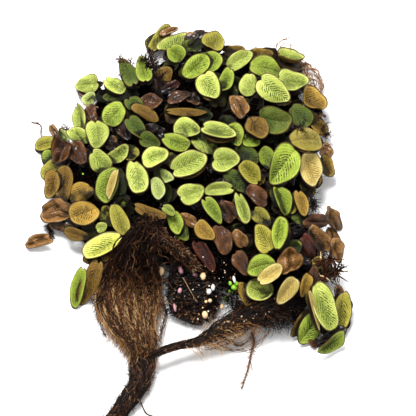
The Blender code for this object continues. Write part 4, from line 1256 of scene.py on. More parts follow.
def mat_mound():
    """The root mat's body: rings round its middle, from the top down to a flat underside, drawn out to
    the mat's outline and raised in lumps that are a sum of slow waves."""
    angle = math.tau * np.arange(MAT_TURNS) / MAT_TURNS
    fall = np.linspace(0, 1, MAT_RINGS)[1:-1]
    high = np.cos(math.pi * fall)[:, None]
    wide = np.sin(math.pi * fall)[:, None]
    degrees = np.degrees(angle)
    marks, sizes = np.array(MAT_REACH, float).T
    index = np.clip(np.searchsorted(marks, degrees, side="right") - 1, 0, len(marks) - 2)
    share = (degrees - marks[index]) / (marks[index + 1] - marks[index])
    ease = share * share * (3 - 2 * share)
    off_right = ((degrees + 180 - RIGHT_TURN) % 360 - 180) / RIGHT_SPAN
    inset = MAT_INSET - RIGHT_INSET * np.exp(-(off_right ** 2))
    reach = (sizes[index] + (sizes[index + 1] - sizes[index]) * ease) * MM * inset
    middle = on_grid(*MAT_MIDDLE, 0)
    x = middle[0] + wide * np.cos(angle) * reach
    y = middle[1] + wide * np.sin(angle) * reach
    rng = default_rng(SEED)
    lump = np.zeros_like(x)
    for size, height in MAT_LUMPS:
        for _ in range(3):
            way = rng.uniform(0, math.tau)
            run = math.tau * (x * math.cos(way) + y * math.sin(way)) / (size * MM)
            lump += height * MM * np.sin(run + rng.uniform(0, 6))
    top = MAT_EDGE_HEIGHT + MAT_HEIGHT * np.abs(high) + lump * np.clip(high * 2, 0, 1)
    below = MAT_EDGE_HEIGHT * (1 + high / MAT_UNDERCUT)
    z = np.maximum(np.where(high >= 0, top, below), 0.0)
    poles = [(*middle[:2], MAT_EDGE_HEIGHT + MAT_HEIGHT), (*middle[:2], 0.0)]
    points = np.concatenate([np.stack([x, y, z], axis=-1).reshape(-1, 3), poles])
    index = np.arange(x.size).reshape(x.shape)
    after = np.roll(index, -1, axis=1)
    cap = np.stack([np.full(MAT_TURNS, x.size), index[0], after[0]], axis=-1)
    foot = np.stack([np.full(MAT_TURNS, x.size + 1), after[-1], index[-1]], axis=-1)
    faces = [quads(index, after)[:, TURNED_OVER], np.concatenate([cap, foot])]
    return Shape(points, faces, {"tint": np.zeros(len(points))})


def add_mat(sizes):
    """The mat's body, and the tangle of hairs that covers it, thickest where no leaves are."""
    dark = root_paint("matted_roots", DARK, 0.4, 0.12)
    packed = root_paint("packed_roots", DARK, 0.95, 0.0)
    add_piece("root_mat_body", mat_mound(), packed, "root_dark", "root_mat")
    rng = default_rng(SEED + 1)
    count = sizes.mat_hairs
    starts, out = spread_over("root_mat", count * 3, rng)
    x, y = seen(starts)
    weight = np.where(within(x, y, OPEN_ROOTS), 2.2, np.where(within(x, y, BARE_MAT), 0.05, 1.0))
    weight = weight * (out @ TO_EYE > -0.2) + 1e-4
    pick = rng.choice(len(starts), count, replace=False, p=weight / weight.sum())
    starts, out = starts[pick] - out[pick] * rng.uniform(2.0, 4.5, (count, 1)) * MM, out[pick]
    ways = out * 0.5 + 0.9 * rng.normal(size=out.shape) + np.array((0.15, -0.6, 0.0))
    paths = wander(starts, ways, (3, 9), 5, 0.5, rng, (0, 0, -0.12))
    paths = cleared(paths, rng, 0.03, GRAIN_CLEARINGS)
    tint = 0.65 * rng.beta(0.6, 5.0, (len(paths), 1))
    add_piece("root_mat_hairs", hair(paths, 0.12, 0.04, tint, rng), dark, "root_dark")


def add_fan(sizes):
    """The fan: red-brown roots that run down from the mat and close up again, with golden side hairs,
    over a thin bed of finer roots, and curled dark hairs at its crown, a fifth of them light as painted
    glints."""
    rng = default_rng(SEED + 2)
    gold = root_paint("golden_roots", GOLD, 0.6, 0.08)
    red = root_paint("red_brown_roots", DARK, 0.5, 0.06)
    raise_by = np.array((0, 0, 1.1 * MM))
    paths = roots_on(FAN_GUIDE, 62, 44, rng, (0.02, 0.45), (0.9, 1.0), 0.13)
    count = len(paths)
    own = rng.uniform(0.0, 0.3, (count, 1)) * (rng.uniform(size=(count, 1)) < 0.5)
    tint = np.clip(np.interp(seen(paths)[1], *FAN_ROOT_TINTS) + own, 0, 1)
    paths = paths + raise_by
    long_roots = hair(paths, 0.21, 0.16, tint, rng, 5)
    cords = roots_on(FAN_GUIDE, 18, 44, rng, (0.0, 0.3), (0.95, 1.0), 0.16, topmost=1.0) + raise_by
    long_roots = joined([long_roots, hair(cords, 0.24, 0.2, (0.36, 0.06), rng, 5)])
    add_piece("root_fan_roots", long_roots, red, "root_gold", "root_fan")

    bed = roots_on(FAN_GUIDE, 340, 22, rng, (0.0, 0.5), (0.85, 1.0), 0.12, topmost=0.6)
    bed = off_ground(bed - np.array((0, 0, 1.0)) * 0.4 * MM, 0.15)
    x, y = seen(bed)
    shine = np.interp(y, *FAN_BED_TINTS) * (0.92 + 0.3 * np.sin(x / 1.6 + 2 * np.sin(y / 13)))
    bedding = hair(bed, 0.2, 0.1, np.clip(shine * rng.uniform(0.78, 1.2, (len(bed), 1)), 0, 1), rng)
    count = sizes.fan_hairs
    both = np.concatenate([paths, cords])
    fine = side_hairs(both, count, 3, (0.5, 1.8), (25, 60), (0.12, 0.1), rng, (0, 0, -0.15))
    shine = np.interp(seen(fine[:, :1])[1], *FAN_HAIR_TINTS) * rng.uniform(0.8, 1.3, (count, 1))
    barbs = hair(fine, 0.055, 0.025, np.clip(shine + np.linspace(-0.1, 0.1, 3)[None, :], 0, 1), rng)
    wisps = hairs_off(FAN_GUIDE, 2600, (2, 7), (10, 50), rng, (0.35, 0.97), 0.22, (0, -0.12, -0.12))
    columns, rows, _, half_widths, _ = np.array(FAN_GUIDE).T
    x, y = seen(wisps[:, 0])
    wisps = wisps[np.abs(x - np.interp(y, rows, columns)) / np.interp(y, rows, half_widths) > 0.72]
    wispy = hair(wisps, 0.09, 0.04, (0.5, 0.25), rng)
    add_piece("root_fan_hairs", joined([bedding, barbs, wispy]), gold, "root_gold")

    dark = root_paint("crown_roots", DARK, 0.35, 0.12)
    count = sizes.crown_hairs
    place = rng.beta(1.0, 1.6, count) * 0.62
    starts = on_guide(FAN_GUIDE, place, rng.uniform(0, math.pi, count), rng.uniform(0.8, 1.1, count))
    ways = np.array((0.0, -0.7, 0.1)) + 0.8 * rng.normal(size=(count, 3))
    curls = cleared(wander(starts, ways, (2, 8), 7, 0.3, rng, (0, -0.08, -0.02)), rng, grains=GRAIN_CLEARINGS)
    # A fifth of the crown's curls are light: painted glints on the dark hairs
    crown = hair(curls, 0.12, 0.05, two_tints(len(curls), 0.2, (0.45, 0.85), (0, 0.12), rng), rng)
    arm = roots_on(ARM_GUIDE, 60, 24, rng, (0.0, 0.2), (0.75, 1.0), 0.3)
    arm = cleared(arm, rng, grains=GRAIN_CLEARINGS)
    arms = hair(arm, 0.17, 0.1, (0.35, 0.3), rng, 4)
    down = fuzz(arm, 900, (0.8, 2.4), (20, 70), (0.3, 0.2), 0.06, 0.02, (0.5, 0.35), rng)
    add_piece("root_crown_hairs", joined([crown, arms, down]), dark, "root_dark")


def add_tail(sizes):
    """The tail: dark roots twisted into a rope, a few of them lighter, partly as lighter roots and partly as
    painted glints, with short hairs at its sides.
    """
    rng = default_rng(SEED + 3)
    dark = root_paint("twisted_roots", DARK, 0.4, 0.15)
    paths, _ = strands_on(TAIL_GUIDE, 300, 22, rng, (0.0, 0.2), (0.85, 1.0), 3.0, 0.12, (0.6, 1.05))
    # A third of the rope's roots are lighter: partly lighter roots, partly painted glints
    tint = two_tints(len(paths), 0.34, (0.3, 0.66), (0.0, 0.14), rng)
    golden = np.interp(seen(paths)[1], *TAIL_START_TINTS) * rng.uniform(0, 1, (len(paths), 1))
    rope = hair(paths, 0.13, 0.09, np.clip(tint + golden, 0, 1), rng, 4)
    fine = side_hairs(paths, sizes.tail_hairs, 4, (1.0, 4.2), (20, 70), (0.7, 0.25), rng)
    barbs = hair(fine, 0.1, 0.045, two_tints(len(fine), 0.3, (0.5, 1.0), (0.0, 0.3), rng), rng)
    add_piece("root_tail_roots", joined([rope, barbs]), dark, "root_dark", "root_tail")


def add_strand(sizes):
    """The strand: a thick bundle to the right, that frays into long loose hairs along its lower side."""
    rng = default_rng(SEED + 4)
    dark = root_paint("strand_roots", DARK, 0.4, 0.15)
    gold = root_paint("strand_fringe", GOLD, 0.5, 0.1)
    paths, part = strands_on(STRAND_GUIDE, 190, 26, rng, (0.0, 0.4), (0.7, 1.0), 4.0, 0.16, (0.35, 1.0))
    # A third of the strand's roots are lighter, partly lighter roots and partly painted highlights, which
    # fade along it
    tint = two_tints(len(paths), 0.36, (0.4, 0.8), (0.0, 0.14), rng) * np.interp(part, *STRAND_ROOT_FADE)
    rope = hair(paths, 0.14, 0.09, tint, rng, 4)
    hanging = []
    for row in STRAND_LOOPS:
        for bend in np.array(row)[None] + 1.7 * rng.normal(size=(7, len(row), 3)) * (1, 1, 0.3):
            hanging.append(through(on_grid(*bend.T), np.linspace(0, 1, 24)))
    hanging = off_ground(np.array(hanging), 0.3)
    looped = hair(hanging, 0.1, 0.07, (0.36, 0.15), rng, 4, strand_fade(hanging))
    count = sizes.strand_hairs
    drift = side_hairs(paths[:, 8:], count // 3, 8, (4, 10), (8, 50), (0.25, 0.1), rng, (0.0, -0.12, -0.05))
    trailing = hair(drift, 0.09, 0.04, (0.42, 0.2, 0.3), rng, fade=strand_fade(drift))
    barbs = fuzz(paths, count, (0.8, 2.4), (20, 60), (0.25, 0.15), 0.07, 0.03, (0.28, 0.2), rng, fading=True)
    loose = np.concatenate([hanging, drift[:, np.linspace(0, 7, 24).astype(int)]])
    down = fuzz(loose, count, (0.6, 2.2), (30, 80), (0.3, 0.2), 0.065, 0.03, (0.8, 0.15), rng, fading=True)
    add_piece("root_strand_roots", rope, dark, "root_dark", "root_strand")
    mass, _ = strands_on(MASS_GUIDE, 190, 14, rng, (0.0, 0.5), (0.5, 1.0), 1.0, 0.4, (0.2, 1.0))
    mass = cleared(mass, rng, 0.0)
    thick = hair(mass, 0.18, 0.09, tint_of(mass, rng, 0.1, 0.14), rng, 4)
    curls = cleared(hairs_off(MASS_GUIDE, 1300, (2.0, 7.0), (20, 90), rng), rng, 0.0)
    tangle = hair(curls, 0.1, 0.04, 0.7 * rng.beta(0.8, 3.5, (len(curls), 1)), rng)
    add_piece("root_strand_hairs", joined([looped, trailing, barbs, down]), gold, "root_gold")
    add_piece("root_tangle_right", joined([thick, tangle]), dark, "root_dark")


def add_tuft(sizes):
    """The tuft: a dense black tangle with a thick root down its left side."""
    rng = default_rng(SEED + 5)
    dark = root_paint("tangled_roots", DARK, 0.3, 0.2)
    paths, _ = strands_on(TUFT_GUIDE, 210, 13, rng, (0.0, 0.4), (0.7, 1.0), 0.8, 0.35, (0.2, 1.0))
    thick = hair(paths, 0.21, 0.1, (0.1, 0.14), rng, 4)
    edge, _ = strands_on(TUFT_EDGE_GUIDE, 44, 24, rng, (0.0, 0.1), (0.9, 1.0), 5.0, 0.15, (0.4, 1.0))
    side = hair(edge, 0.26, 0.14, (0.08, 0.08), rng, 5)
    fine = hairs_off(TUFT_GUIDE, sizes.tuft_hairs, (1.0, 4.5), (20, 90), rng)
    fine = cleared(fine, rng, grains=GRAIN_CLEARINGS)
    curls = hair(fine, 0.12, 0.05, rng.beta(0.7, 1.3, (len(fine), 1)), rng)
    add_piece("root_tuft_roots", joined([thick, side, curls]), dark, "root_dark", "root_tuft")


def drawn(line, tree=None):
    """A line of grid places with heights in mm, smoothed; with a tree, heights count from what each
    place rests on, and off the clump from what the last one rests on."""
    x, y, height = np.array(line, float).T
    if tree:
        bases = np.array([seen_point(tree, *place)[0][2] / MM for place in zip(x, y)])
        bases[bases < 0.1] = bases[-1]
        height = height + bases
    return off_ground(through(on_grid(x, y, height), np.linspace(0, 1, LINE_STEPS)), 0.2, HIGHEST)


def roaming(run, count, size, rng):
    """Copies of a line that roam off it in small random steps, in mm."""
    return run[None] + size * MM * np.cumsum(rng.normal(size=(count, LINE_STEPS, 3)), axis=1)


def add_sprig(rng, rust):
    """The thin branched root that hangs from the strand."""
    runs = np.array([drawn(SPRIG), drawn(SPRIG_BRANCH)])
    stalks = tubes(runs, np.array([[0.36], [0.2]]) * np.linspace(1, 0.5, LINE_STEPS) * MM, 0.32, 6)
    down = fuzz(runs[:1], 260, (0.6, 2.8), (30, 75), (0.3, 0.15), 0.06, 0.03, (0.5, 0.12), rng, (0.0, 0.95))
    add_piece("root_sprig_hairs", joined([stalks, down]), rust, "root_dark", "root_sprig")


def add_hairy_loop(rng, dark):
    """The pale hairy loop of roots."""
    line = np.array(HAIRY_LOOP, float)
    guide = np.column_stack([line, np.full(len(line), 8.5), np.full(len(line), 1.6)])
    paths, _ = strands_on(guide, 18, 30, rng, (0.0, 0.1), (0.85, 1.0), 1.2, 0.3, (0.3, 1.0))
    ropes = hair(paths, 0.17, 0.1, (0.85, 0.2), rng, 4)
    down = fuzz(paths, 170, (0.5, 1.6), (30, 90), (0.5, 0.2), 0.05, 0.025, (1.0, 0.12), rng)
    shape = moved(joined([ropes, down]), TO_EYE * node_lift(on_grid(*line.T), "hairy_loop"))
    off_ground(shape.points, 0.05)
    add_piece("hairy_loop_roots", shape, dark, "root_dark", "hairy_loop")


def add_stem(rng, dark, node):
    """A black stem with a few thinner roots and hairs round it."""
    spots, thick = STEMS[node]
    run = drawn(spots) + TO_EYE * node_lift(on_grid(*np.array(spots, float).T), node)
    several = roaming(run, 5, 0.35 * 0.35, rng)
    stalk = tubes(run[None], np.full((1, LINE_STEPS), thick) * MM, 0.15, 6)
    around = hair(several, 0.18, 0.1, (0.3, 0.15), rng, 4)
    down = fuzz(several, 160, (0.8, 2.4), (30, 90), (0.6, 0.2), 0.07, 0.03, (0.45, 0.2), rng)
    add_piece(f"{node}_roots", joined([stalk, around, down]), dark, "root_dark", node)


def add_star_tuft(rng, rust):
    """The spiky tuft: tapered spines that grow out of four hearts, a few of them light as painted glints."""
    count = 130
    hearts = box_middle("star_tuft") + MM * np.array(STAR_HEARTS)
    ways = unit(rng.normal(size=(count, 3)) * (1.2, 1.1, 0.5))
    paths = wander(hearts[rng.integers(0, 4, count)], ways, (2.5, 7.0), 6, 0.25, rng)
    # A few spines are light: painted glints
    bright = rng.uniform(size=(count, 1)) < 0.06
    spiny = hair(paths, 0.34, 0.08, np.where(bright, 0.9, rng.uniform(0.02, 0.3, (count, 1))), rng, 4)
    add_piece("star_tuft_spines", spiny, rust, "root_dark", "star_tuft")


def add_loose_roots(rng, dark):
    """Twigs, stray roots and tufts of hair that lie on the clump."""
    tree = tree_over(frame["nodes"].values())
    shapes = []
    for line, thick, tint, hairs, copies in LOOSE_LINES:
        several = roaming(drawn(line, tree), copies, 0.5 * 0.3 if copies > 1 else 0, rng)
        several = off_ground(several, 0.2, HIGHEST)
        shapes.append(hair(several, thick, 0.5 * thick, (tint, 0.05), rng, 5))
        if hairs:
            down = fuzz(several, hairs, (0.7, 2.6), (30, 80), (0.4, 0.2), 0.07, 0.03, (tint, 0.15), rng)
            shapes.append(down)
    for x, y, right, up, count, short, long, tint in LOOSE_TUFTS:
        starts = off_ground(seen_point(tree, x, y)[0] + 0.8 * MM * rng.normal(size=(count, 3)), 0.3)
        ways = RIGHT * right + UP * up + 0.55 * rng.normal(size=(count, 3))
        paths = wander(starts, ways, (short, long), 6, 0.3, rng)
        shapes.append(hair(paths, 0.14, 0.05, (tint, 0.15, 0.2), rng))
    add_piece("loose_roots", joined(shapes), dark, "root_dark")


def add_small_roots():
    """The sprig, the hairy loop, the two stems, the star-shaped tuft, loose twigs and tufts."""
    rng = default_rng(SEED + 6)
    dark = root_paint("small_roots", DARK, 0.4, 0.15)
    rust = root_paint("rusty_roots", GOLD, 0.5, 0.1)
    add_sprig(rng, rust)
    add_hairy_loop(rng, dark)
    for node in STEMS:
        add_stem(rng, dark, node)
    add_star_tuft(rng, rust)
    add_loose_roots(rng, dark)


def belly_of(leaf, node, sizes, rng):
    """The kind and blade of a leaf's browner lower side, as seen past it, at lift 0."""
    right, down, size, kind = BELLIES.get(node, BELLY_USUAL)
    belly = enlarged(leaf._replace(cup=-0.1, fold=0.0, bend=0, roll=0, kind=kind), size)
    belly = belly._replace(x0=belly.x0 + right, x1=belly.x1 + right, y0=belly.y0 + down, y1=belly.y1 + down)
    # Painted shade: lower sides not listed get deep shade, as they lie in shadow under their leaf
    shade = BELLY_SHADE if node in BELLIES else HIDDEN_BELLY_SHADE
    return kind, leaf_shell(belly, sizes.small_leaf_cells, sizes.leaf_thickness, rng, shade=shade)


def add_leaves(group, sizes):
    """One group of the large leaves, each in the place of its solid, with its lower side under it."""
    lower_sides = {}
    for number, row in enumerate(LARGE_LEAVES[group], 1):
        node = f"{group}_leaf_{number:02d}"
        seed = SEED + 100 * len(group) + number
        leaf = Leaf(*row)
        lift = TO_EYE * lift_of(leaf, node)
        slot = KINDS[leaf.kind].slot
        leaf = leaf._replace(**REFINED.get(node, {}))
        shape = leaf_shell(leaf, sizes.leaf_cells, sizes.leaf_thickness, default_rng(seed), papillae=True)
        shape = kept_above(moved(shape, lift))
        if node in BELLIES or slot != "leaf_brown":
            kind, belly = belly_of(leaf, node, sizes, default_rng(seed + 3000))
            belly = moved(belly, lift)
            blade = leaf_shell(leaf, 8, sizes.leaf_thickness, default_rng(seed))
            blade = moved(blade, shape.points[0] - blade.points[0])
            down = sinking(belly._replace(points=belly.points[::7]), [tree_of(blade)], 1.0)
            belly = moved(belly, TO_EYE * -max(min(down, BELLY_DEEPEST), BELLY_DROP))
            rise = max(0.0, LEAF_LOWEST - belly.points[:, 2].min()) / TO_EYE[2]
            if rise < BELLY_RISE and down < BELLY_DEEPEST:
                shape = moved(shape, TO_EYE * rise)
                if shape.points[:, 2].max() < HIGHEST:
                    lower_sides.setdefault(kind, []).append(moved(belly, TO_EYE * rise))
        add_piece(f"{group}_blade_{number:02d}", shape, kind_paint(leaf.kind), slot, node)
    add_by_kind(lower_sides, group + "_{}_lower_sides")


def height_to_meet(leaf, place, height):
    """The lift that brings the middle of a leaf's blade to a height up the line of sight at its place."""
    rest = leaf_surface(leaf, np.zeros(1), np.zeros(1), default_rng(0))[0]
    return height - (rest - on_grid(*place, 0)) @ TO_EYE


def add_low_leaves(sizes):
    """The leaves between and under the large ones, joined by kind. Gives search trees over leaves."""
    mat_tree = tree_over([frame["nodes"]["root_mat"]])
    other_trees = [tree_over([solid]) for name, solid in frame["nodes"].items() if name != "root_mat"]
    leaf_trees = [leaf_tree("_blade_")]
    shapes = {}
    high = [Leaf(*row) for row in HIGH_LEAVES]
    for number, leaf in enumerate([enlarged(Leaf(*row), sizes.low_growth) for row in LOW_LEAVES] + high):
        seed = SEED + 1000 + number
        rng = default_rng(seed)
        if KINDS[leaf.kind].slot == "leaf_brown" and not leaf.bend:
            cup, bend, roll = rng.uniform(-0.4, 0.3), rng.uniform(0, 60), rng.uniform(-25, 25)
            leaf = leaf._replace(cup=cup, bend=bend, roll=roll)
        if leaf in high:
            lift = lower_onto(leaf, [mat_tree] + other_trees)
        else:
            place = middle_of(leaf)
            lift = height_to_meet(leaf, place, seen_point(mat_tree, *place)[1]) + 0.3 * MM
            probe = leaf_shell(leaf, PROBE_CELLS, sizes.leaf_thickness, default_rng(seed + 5000))
            lift -= sinking(moved(probe, TO_EYE * lift), leaf_trees, 2.6 * MM)
        form = default_rng(seed + 5000)
        # Painted shade for leaves between, as they lie under the large ones
        shape = leaf_shell(leaf, sizes.small_leaf_cells, sizes.leaf_thickness, form, shade=BETWEEN_SHADE)
        shape = kept_above(moved(shape, TO_EYE * lift))
        leaf_trees.append(tree_of(shape))
        shapes.setdefault(leaf.kind, []).append(shape)
    add_by_kind(shapes, "{}_leaves_between")
    return leaf_trees


def add_sunk_leaves(sizes, leaf_trees):
    """Dark and dead leaves that lie deep between the others, wherever the mat shows, darkened by painted
    shade as they lie deep.
    """
    rng = default_rng(SEED + 7)
    starts, out = spread_over("root_mat", sizes.sunk_leaves * 4, rng)
    columns, rows = seen(starts)
    chosen = np.flatnonzero((out @ TO_EYE > 0.5) & ~within(columns, rows, LEAFLESS))[: sizes.sunk_leaves]
    kinds = rng.choice(list(SUNK_KINDS), len(chosen), p=list(SUNK_KINDS.values()))
    shapes = {}
    for number, kind in zip(chosen.tolist(), kinds.tolist()):
        x, y = columns[number], rows[number]
        turn = rng.uniform(0, math.tau)
        long = rng.uniform(8, 12)
        right, down = long * math.cos(turn), long * math.sin(turn)
        lean = rng.uniform(-28, 28, 2)
        ends = (x - right, y - down, x + right, y + down)
        leaf = Leaf(*ends, rng.uniform(12, 20), kind, *lean, rng.uniform(-0.1, 0.4), rng.uniform(-0.3, 0.35))
        height = height_to_meet(leaf, (x, y), (starts[number] - on_grid(x, y, 0)) @ TO_EYE)
        height -= rng.uniform(1.5, 3.0) * MM
        # Painted shade, as the leaf lies deep under others
        dark = rng.uniform(1.9, 3.0)
        probe = leaf_shell(leaf, PROBE_CELLS, sizes.leaf_thickness, default_rng(number))
        probe = moved(probe, TO_EYE * height)
        down = sinking(probe, leaf_trees, 7 * MM)
        if probe.points[:, 2].min() < down or not down and sinking(probe, leaf_trees, 1.0) > 0:
            continue
        shape = leaf_shell(leaf, sizes.sunk_leaf_cells, sizes.leaf_thickness, default_rng(number), shade=dark)
        shapes.setdefault(kind, []).append(kept_above(moved(shape, TO_EYE * (height - down))))
    add_by_kind(shapes, "{}_leaves_below")


def darken_hidden():
    """Deepen the painted shade of the leaves' upper points by the share of ways towards the eye and round it
    on which another leaf is near, so that shade is painted where leaves cover others. The way to the eye
    counts three times."""
    tree = leaf_tree("_blade_", "_lower_sides", "_leaves_between", "_leaves_below")
    ways = [(Vector(TO_EYE), 0.5 * MM, 3)]
    for wide, several in ((0.6, 4), (1.3, 5)):
        for turn in math.tau * np.arange(several) / several:
            way = unit(TO_EYE + wide * (math.cos(turn) * RIGHT + math.sin(turn) * UP))
            ways.append((Vector(way), 1.1 * MM, 1))
    most = sum(weight for _, _, weight in ways)
    for leaf in bpy.context.scene.objects:
        if leaf.type != "MESH" or "shade" not in leaf.data.attributes:
            continue
        points, _ = mesh_arrays(leaf.data)
        under, shade = np.zeros((2, len(points)))
        leaf.data.attributes["under"].data.foreach_get("value", under)
        leaf.data.attributes["shade"].data.foreach_get("value", shade)
        deepest = HIDING_MOST_LARGE if "_blade_" in leaf.name else HIDING_MOST
        for index in np.flatnonzero(under < 0.7):
            point = Vector(points[index])
            near = 0
            for way, off, weight in ways:
                if tree.ray_cast(point + off * way, way, HIDING_REACH)[0]:
                    near += weight
            shade[index] += min(deepest, HIDING_GAIN * max(0, near / most - HIDING_START))
        leaf.data.attributes["shade"].data.foreach_set("value", shade)


def add_grains(sizes):
    """Caught debris, grains and duckweed, each seen at its place on what carries it."""
    trees = [tree_over([frame["nodes"][name]]) for name in GRAIN_BEARERS]
    rng = default_rng(SEED + 40)
    spots, sizes_mm = [], []
    for left, right, top, bottom, count in DEBRIS:
        for x, y in zip(rng.uniform(left, right, count), rng.uniform(top, bottom, count)):
            spot, height = highest_seen(trees, x, y)
            if height > 0:
                spots.append(spot + TO_EYE * rng.uniform(0.6, 2.2) * MM)
                sizes_mm.append(rng.uniform(0.08, 0.3) * rng.uniform(0.4, 1.7, 3))
    count = len(spots)
    bits = ellipsoids(np.array(spots), np.array(sizes_mm) * MM, rng.uniform(0, math.pi, count), 4, 6)
    bits = bits._replace(values={"tint": np.repeat(rng.uniform(0.3, 1.0, count), len(bits.points) // count)})
    add_piece("caught_debris", bits, root_paint("debris_skin", DEBRIS_TONES, 0.5, 0.3), "leaf_brown")
    for number, (name, (rows, main, other, slot)) in enumerate(GRAINS.items()):
        rng = default_rng(SEED + 50 + number)
        lifts = [TO_EYE * (sizes.grain_lift + row[4] * MM) for row in rows]
        centres = np.array([highest_seen(trees, *row[:2])[0] + lift for row, lift in zip(rows, lifts)])
        sizes_mm = np.array([(w * 0.2, h * 0.2, 0.16 * (w + h) / 2) for _, _, w, h, _ in rows])
        shape = ellipsoids(centres, sizes_mm * MM, rng.uniform(-0.4, 0.4, len(rows)), 10, 14)
        add_piece(name, shape, grain_paint(name + "_skin", main, other), slot)


def linked(name, data, place=(0, 0, 0), facing=None):
    """An object in the scene at a place, with its own +Z turned along a way."""
    thing = bpy.data.objects.new(name, data)
    thing.location = Vector(place)
    if facing is not None:
        thing.rotation_euler = Vector(facing).to_track_quat("Z", "Y").to_euler()
    bpy.context.scene.collection.objects.link(thing)
    return thing


def add_stage(stage):
    """A wide pale floor, a soft light over it in a bright room, and the camera."""
    mesh = bpy.data.meshes.new("floor")
    corners = [(x * FLOOR_REACH, y * FLOOR_REACH, 0) for x, y in ((-1, -1), (1, -1), (1, 1), (-1, 1))]
    mesh.from_pydata(corners, [], [(0, 1, 2, 3)])
    floor = linked("floor", mesh)
    paint = Paint("pale_floor")
    paint.put("Base Color", (stage.floor_tone, stage.floor_tone, stage.floor_tone, 1))
    paint.put("Roughness", 0.7)
    paint.put("Specular IOR Level", 0.1)
    mesh.materials.append(paint.material)

    world = bpy.data.worlds.new("pale_room")
    world.use_nodes = True
    background = world.node_tree.nodes["Background"]
    background.inputs["Color"].default_value = (1, 1, 1, 1)
    background.inputs["Strength"].default_value = stage.room_light
    bpy.context.scene.world = world
    light = bpy.data.lights.new("key_light", "AREA")
    light.shape = "DISK"
    light.size = LAMP_WIDTH
    light.energy = stage.key_power
    linked("key_light", light, LAMP_PLACE, LAMP_PLACE)

    camera = bpy.data.cameras.new("camera")
    camera.sensor_width = SENSOR
    camera.lens = SENSOR * stage.camera_distance / (GRID_SIZE * GRID)
    camera.clip_end = 100
    target = on_grid(GRID_SIZE / 2, GRID_SIZE / 2, 8.0)
    bpy.context.scene.camera = linked("camera", camera, target + TO_EYE * stage.camera_distance, TO_EYE)
    bpy.context.scene.view_settings.view_transform = "Standard"


class SpanglesSizes(bpy.types.PropertyGroup):
    """Sizes and counts of the clump."""

    leaf_thickness: FloatProperty(
        name="Leaf thickness", description="Thickness of a leaf at its middle", default=0.00065, unit="LENGTH"
    )
    leaf_cells: IntProperty(name="Leaf cells", description="Grid cells across a large leaf", default=28)
    small_leaf_cells: IntProperty(
        name="Small leaf cells", description="Grid cells across other leaves", default=17
    )
    low_growth: FloatProperty(
        name="Low leaf growth", description="Size of the leaves between over what is seen", default=1.14
    )
    grain_lift: FloatProperty(
        name="Grain lift", description="How far grains stand over the roots", default=0.0022, unit="LENGTH"
    )
    sunk_leaf_cells: IntProperty(
        name="Sunk leaf cells", description="Grid cells across leaves deep between", default=14
    )
    sunk_leaves: IntProperty(name="Sunk leaves", description="Leaves deep between the others", default=120)
    mat_hairs: IntProperty(name="Mat hairs", description="Hairs on the root mat", default=4900)
    fan_hairs: IntProperty(name="Fan hairs", description="Fine hairs of the root fan", default=6000)
    crown_hairs: IntProperty(
        name="Crown hairs", description="Curled hairs where the fan leaves the mat", default=1800
    )
    tail_hairs: IntProperty(name="Tail hairs", description="Fine hairs of the root tail", default=1800)
    strand_hairs: IntProperty(name="Strand hairs", description="Fine hairs of the root strand", default=1150)
    tuft_hairs: IntProperty(name="Tuft hairs", description="Curled hairs of the root tuft", default=2300)


class SpanglesStage(bpy.types.PropertyGroup):
    """Floor, light and camera."""

    floor_tone: FloatProperty(name="Floor tone", description="How light the floor is", default=0.97)
    room_light: FloatProperty(
        name="Room light", description="Strength of the light from all sides", default=0.8
    )
    key_power: FloatProperty(
        name="Key light", description="Power of the soft light", default=42.0, unit="POWER"
    )
    camera_distance: FloatProperty(
        name="Camera distance", description="From the camera to the clump", default=2.5, unit="LENGTH"
    )


# What every step can do, and what it says when it is done
STEP = {"REGISTER", "UNDO"}
DONE = {"FINISHED"}


class SPANGLES_OT_leaves(bpy.types.Operator):
    """Add the large leaves"""

    bl_idname = "spangles.leaves"
    bl_label = "Large leaves"
    bl_options = STEP

    def execute(self, context):
        for group in LARGE_LEAVES:
            add_leaves(group, context.scene.spangles_sizes)
        return DONE


class SPANGLES_OT_low_leaves(bpy.types.Operator):
    """Add the leaves between the large ones"""

    bl_idname = "spangles.low_leaves"
    bl_label = "Leaves between"
    bl_options = STEP

    def execute(self, context):
        sizes = context.scene.spangles_sizes
        add_sunk_leaves(sizes, add_low_leaves(sizes))
        darken_hidden()
        return DONE


class SPANGLES_OT_mat(bpy.types.Operator):
    """Add the root mat and its hairs"""

    bl_idname = "spangles.mat"
    bl_label = "Root mat"
    bl_options = STEP

    def execute(self, context):
        add_mat(context.scene.spangles_sizes)
        return DONE


class SPANGLES_OT_fan(bpy.types.Operator):
    """Add the fan of fine roots"""

    bl_idname = "spangles.fan"
    bl_label = "Root fan"
    bl_options = STEP

    def execute(self, context):
        add_fan(context.scene.spangles_sizes)
        return DONE


class SPANGLES_OT_tail(bpy.types.Operator):
    """Add the twisted root tail"""

    bl_idname = "spangles.tail"
    bl_label = "Root tail"
    bl_options = STEP

    def execute(self, context):
        add_tail(context.scene.spangles_sizes)
        return DONE


class SPANGLES_OT_strand(bpy.types.Operator):
    """Add the root strand"""

    bl_idname = "spangles.strand"
    bl_label = "Root strand"
    bl_options = STEP

    def execute(self, context):
        add_strand(context.scene.spangles_sizes)
        return DONE


class SPANGLES_OT_tuft(bpy.types.Operator):
    """Add the root tuft"""

    bl_idname = "spangles.tuft"
    bl_label = "Root tuft"
    bl_options = STEP

    def execute(self, context):
        add_tuft(context.scene.spangles_sizes)
        return DONE


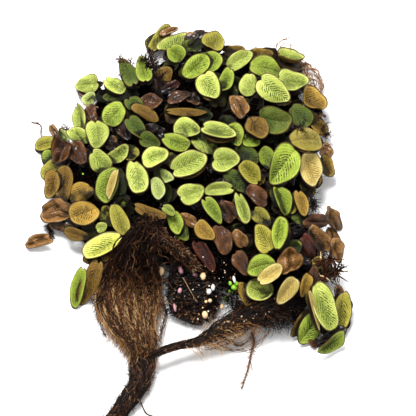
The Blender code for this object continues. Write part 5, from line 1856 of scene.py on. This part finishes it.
class SPANGLES_OT_small_roots(bpy.types.Operator):
    """Add the sprig, loop, stems and star-shaped tuft"""

    bl_idname = "spangles.small_roots"
    bl_label = "Small roots"
    bl_options = STEP

    def execute(self, context):
        add_small_roots()
        return DONE


class SPANGLES_OT_grains(bpy.types.Operator):
    """Add the caught grains and the duckweed"""

    bl_idname = "spangles.grains"
    bl_label = "Grains"
    bl_options = STEP

    def execute(self, context):
        add_grains(context.scene.spangles_sizes)
        return DONE


class SPANGLES_OT_stage(bpy.types.Operator):
    """Add the floor, the light and the camera"""

    bl_idname = "spangles.stage"
    bl_label = "Stage"
    bl_options = STEP

    def execute(self, context):
        add_stage(context.scene.spangles_stage)
        return DONE


OPERATORS = [
    SPANGLES_OT_leaves,
    SPANGLES_OT_low_leaves,
    SPANGLES_OT_mat,
    SPANGLES_OT_fan,
    SPANGLES_OT_tail,
    SPANGLES_OT_strand,
    SPANGLES_OT_tuft,
    SPANGLES_OT_small_roots,
    SPANGLES_OT_grains,
    SPANGLES_OT_stage,
]


class SPANGLES_PT_panel(bpy.types.Panel):
    """The clump's sizes and pieces"""

    bl_label = "Water spangles"
    bl_idname = "SPANGLES_PT_panel"
    bl_space_type = "VIEW_3D"
    bl_region_type = "UI"
    bl_category = "Spangles"

    def draw(self, context):
        column = self.layout.column()
        for group in (context.scene.spangles_sizes, context.scene.spangles_stage):
            for name in group.__annotations__:
                column.prop(group, name)
        for operator in OPERATORS:
            column.operator(operator.bl_idname)


CLASSES = [SpanglesSizes, SpanglesStage, *OPERATORS, SPANGLES_PT_panel]


def register():
    for item in CLASSES:
        bpy.utils.register_class(item)
    bpy.types.Scene.spangles_sizes = PointerProperty(type=SpanglesSizes)
    bpy.types.Scene.spangles_stage = PointerProperty(type=SpanglesStage)


def unregister():
    del bpy.types.Scene.spangles_stage
    del bpy.types.Scene.spangles_sizes
    for item in reversed(CLASSES):
        bpy.utils.unregister_class(item)


def main():
    """Build the clump and the stage."""
    register()
    for operator in OPERATORS:
        section_name, name = operator.bl_idname.split(".")
        getattr(getattr(bpy.ops, section_name), name)()
    bpy.context.view_layer.update()


if __name__ == "__main__":
    main()
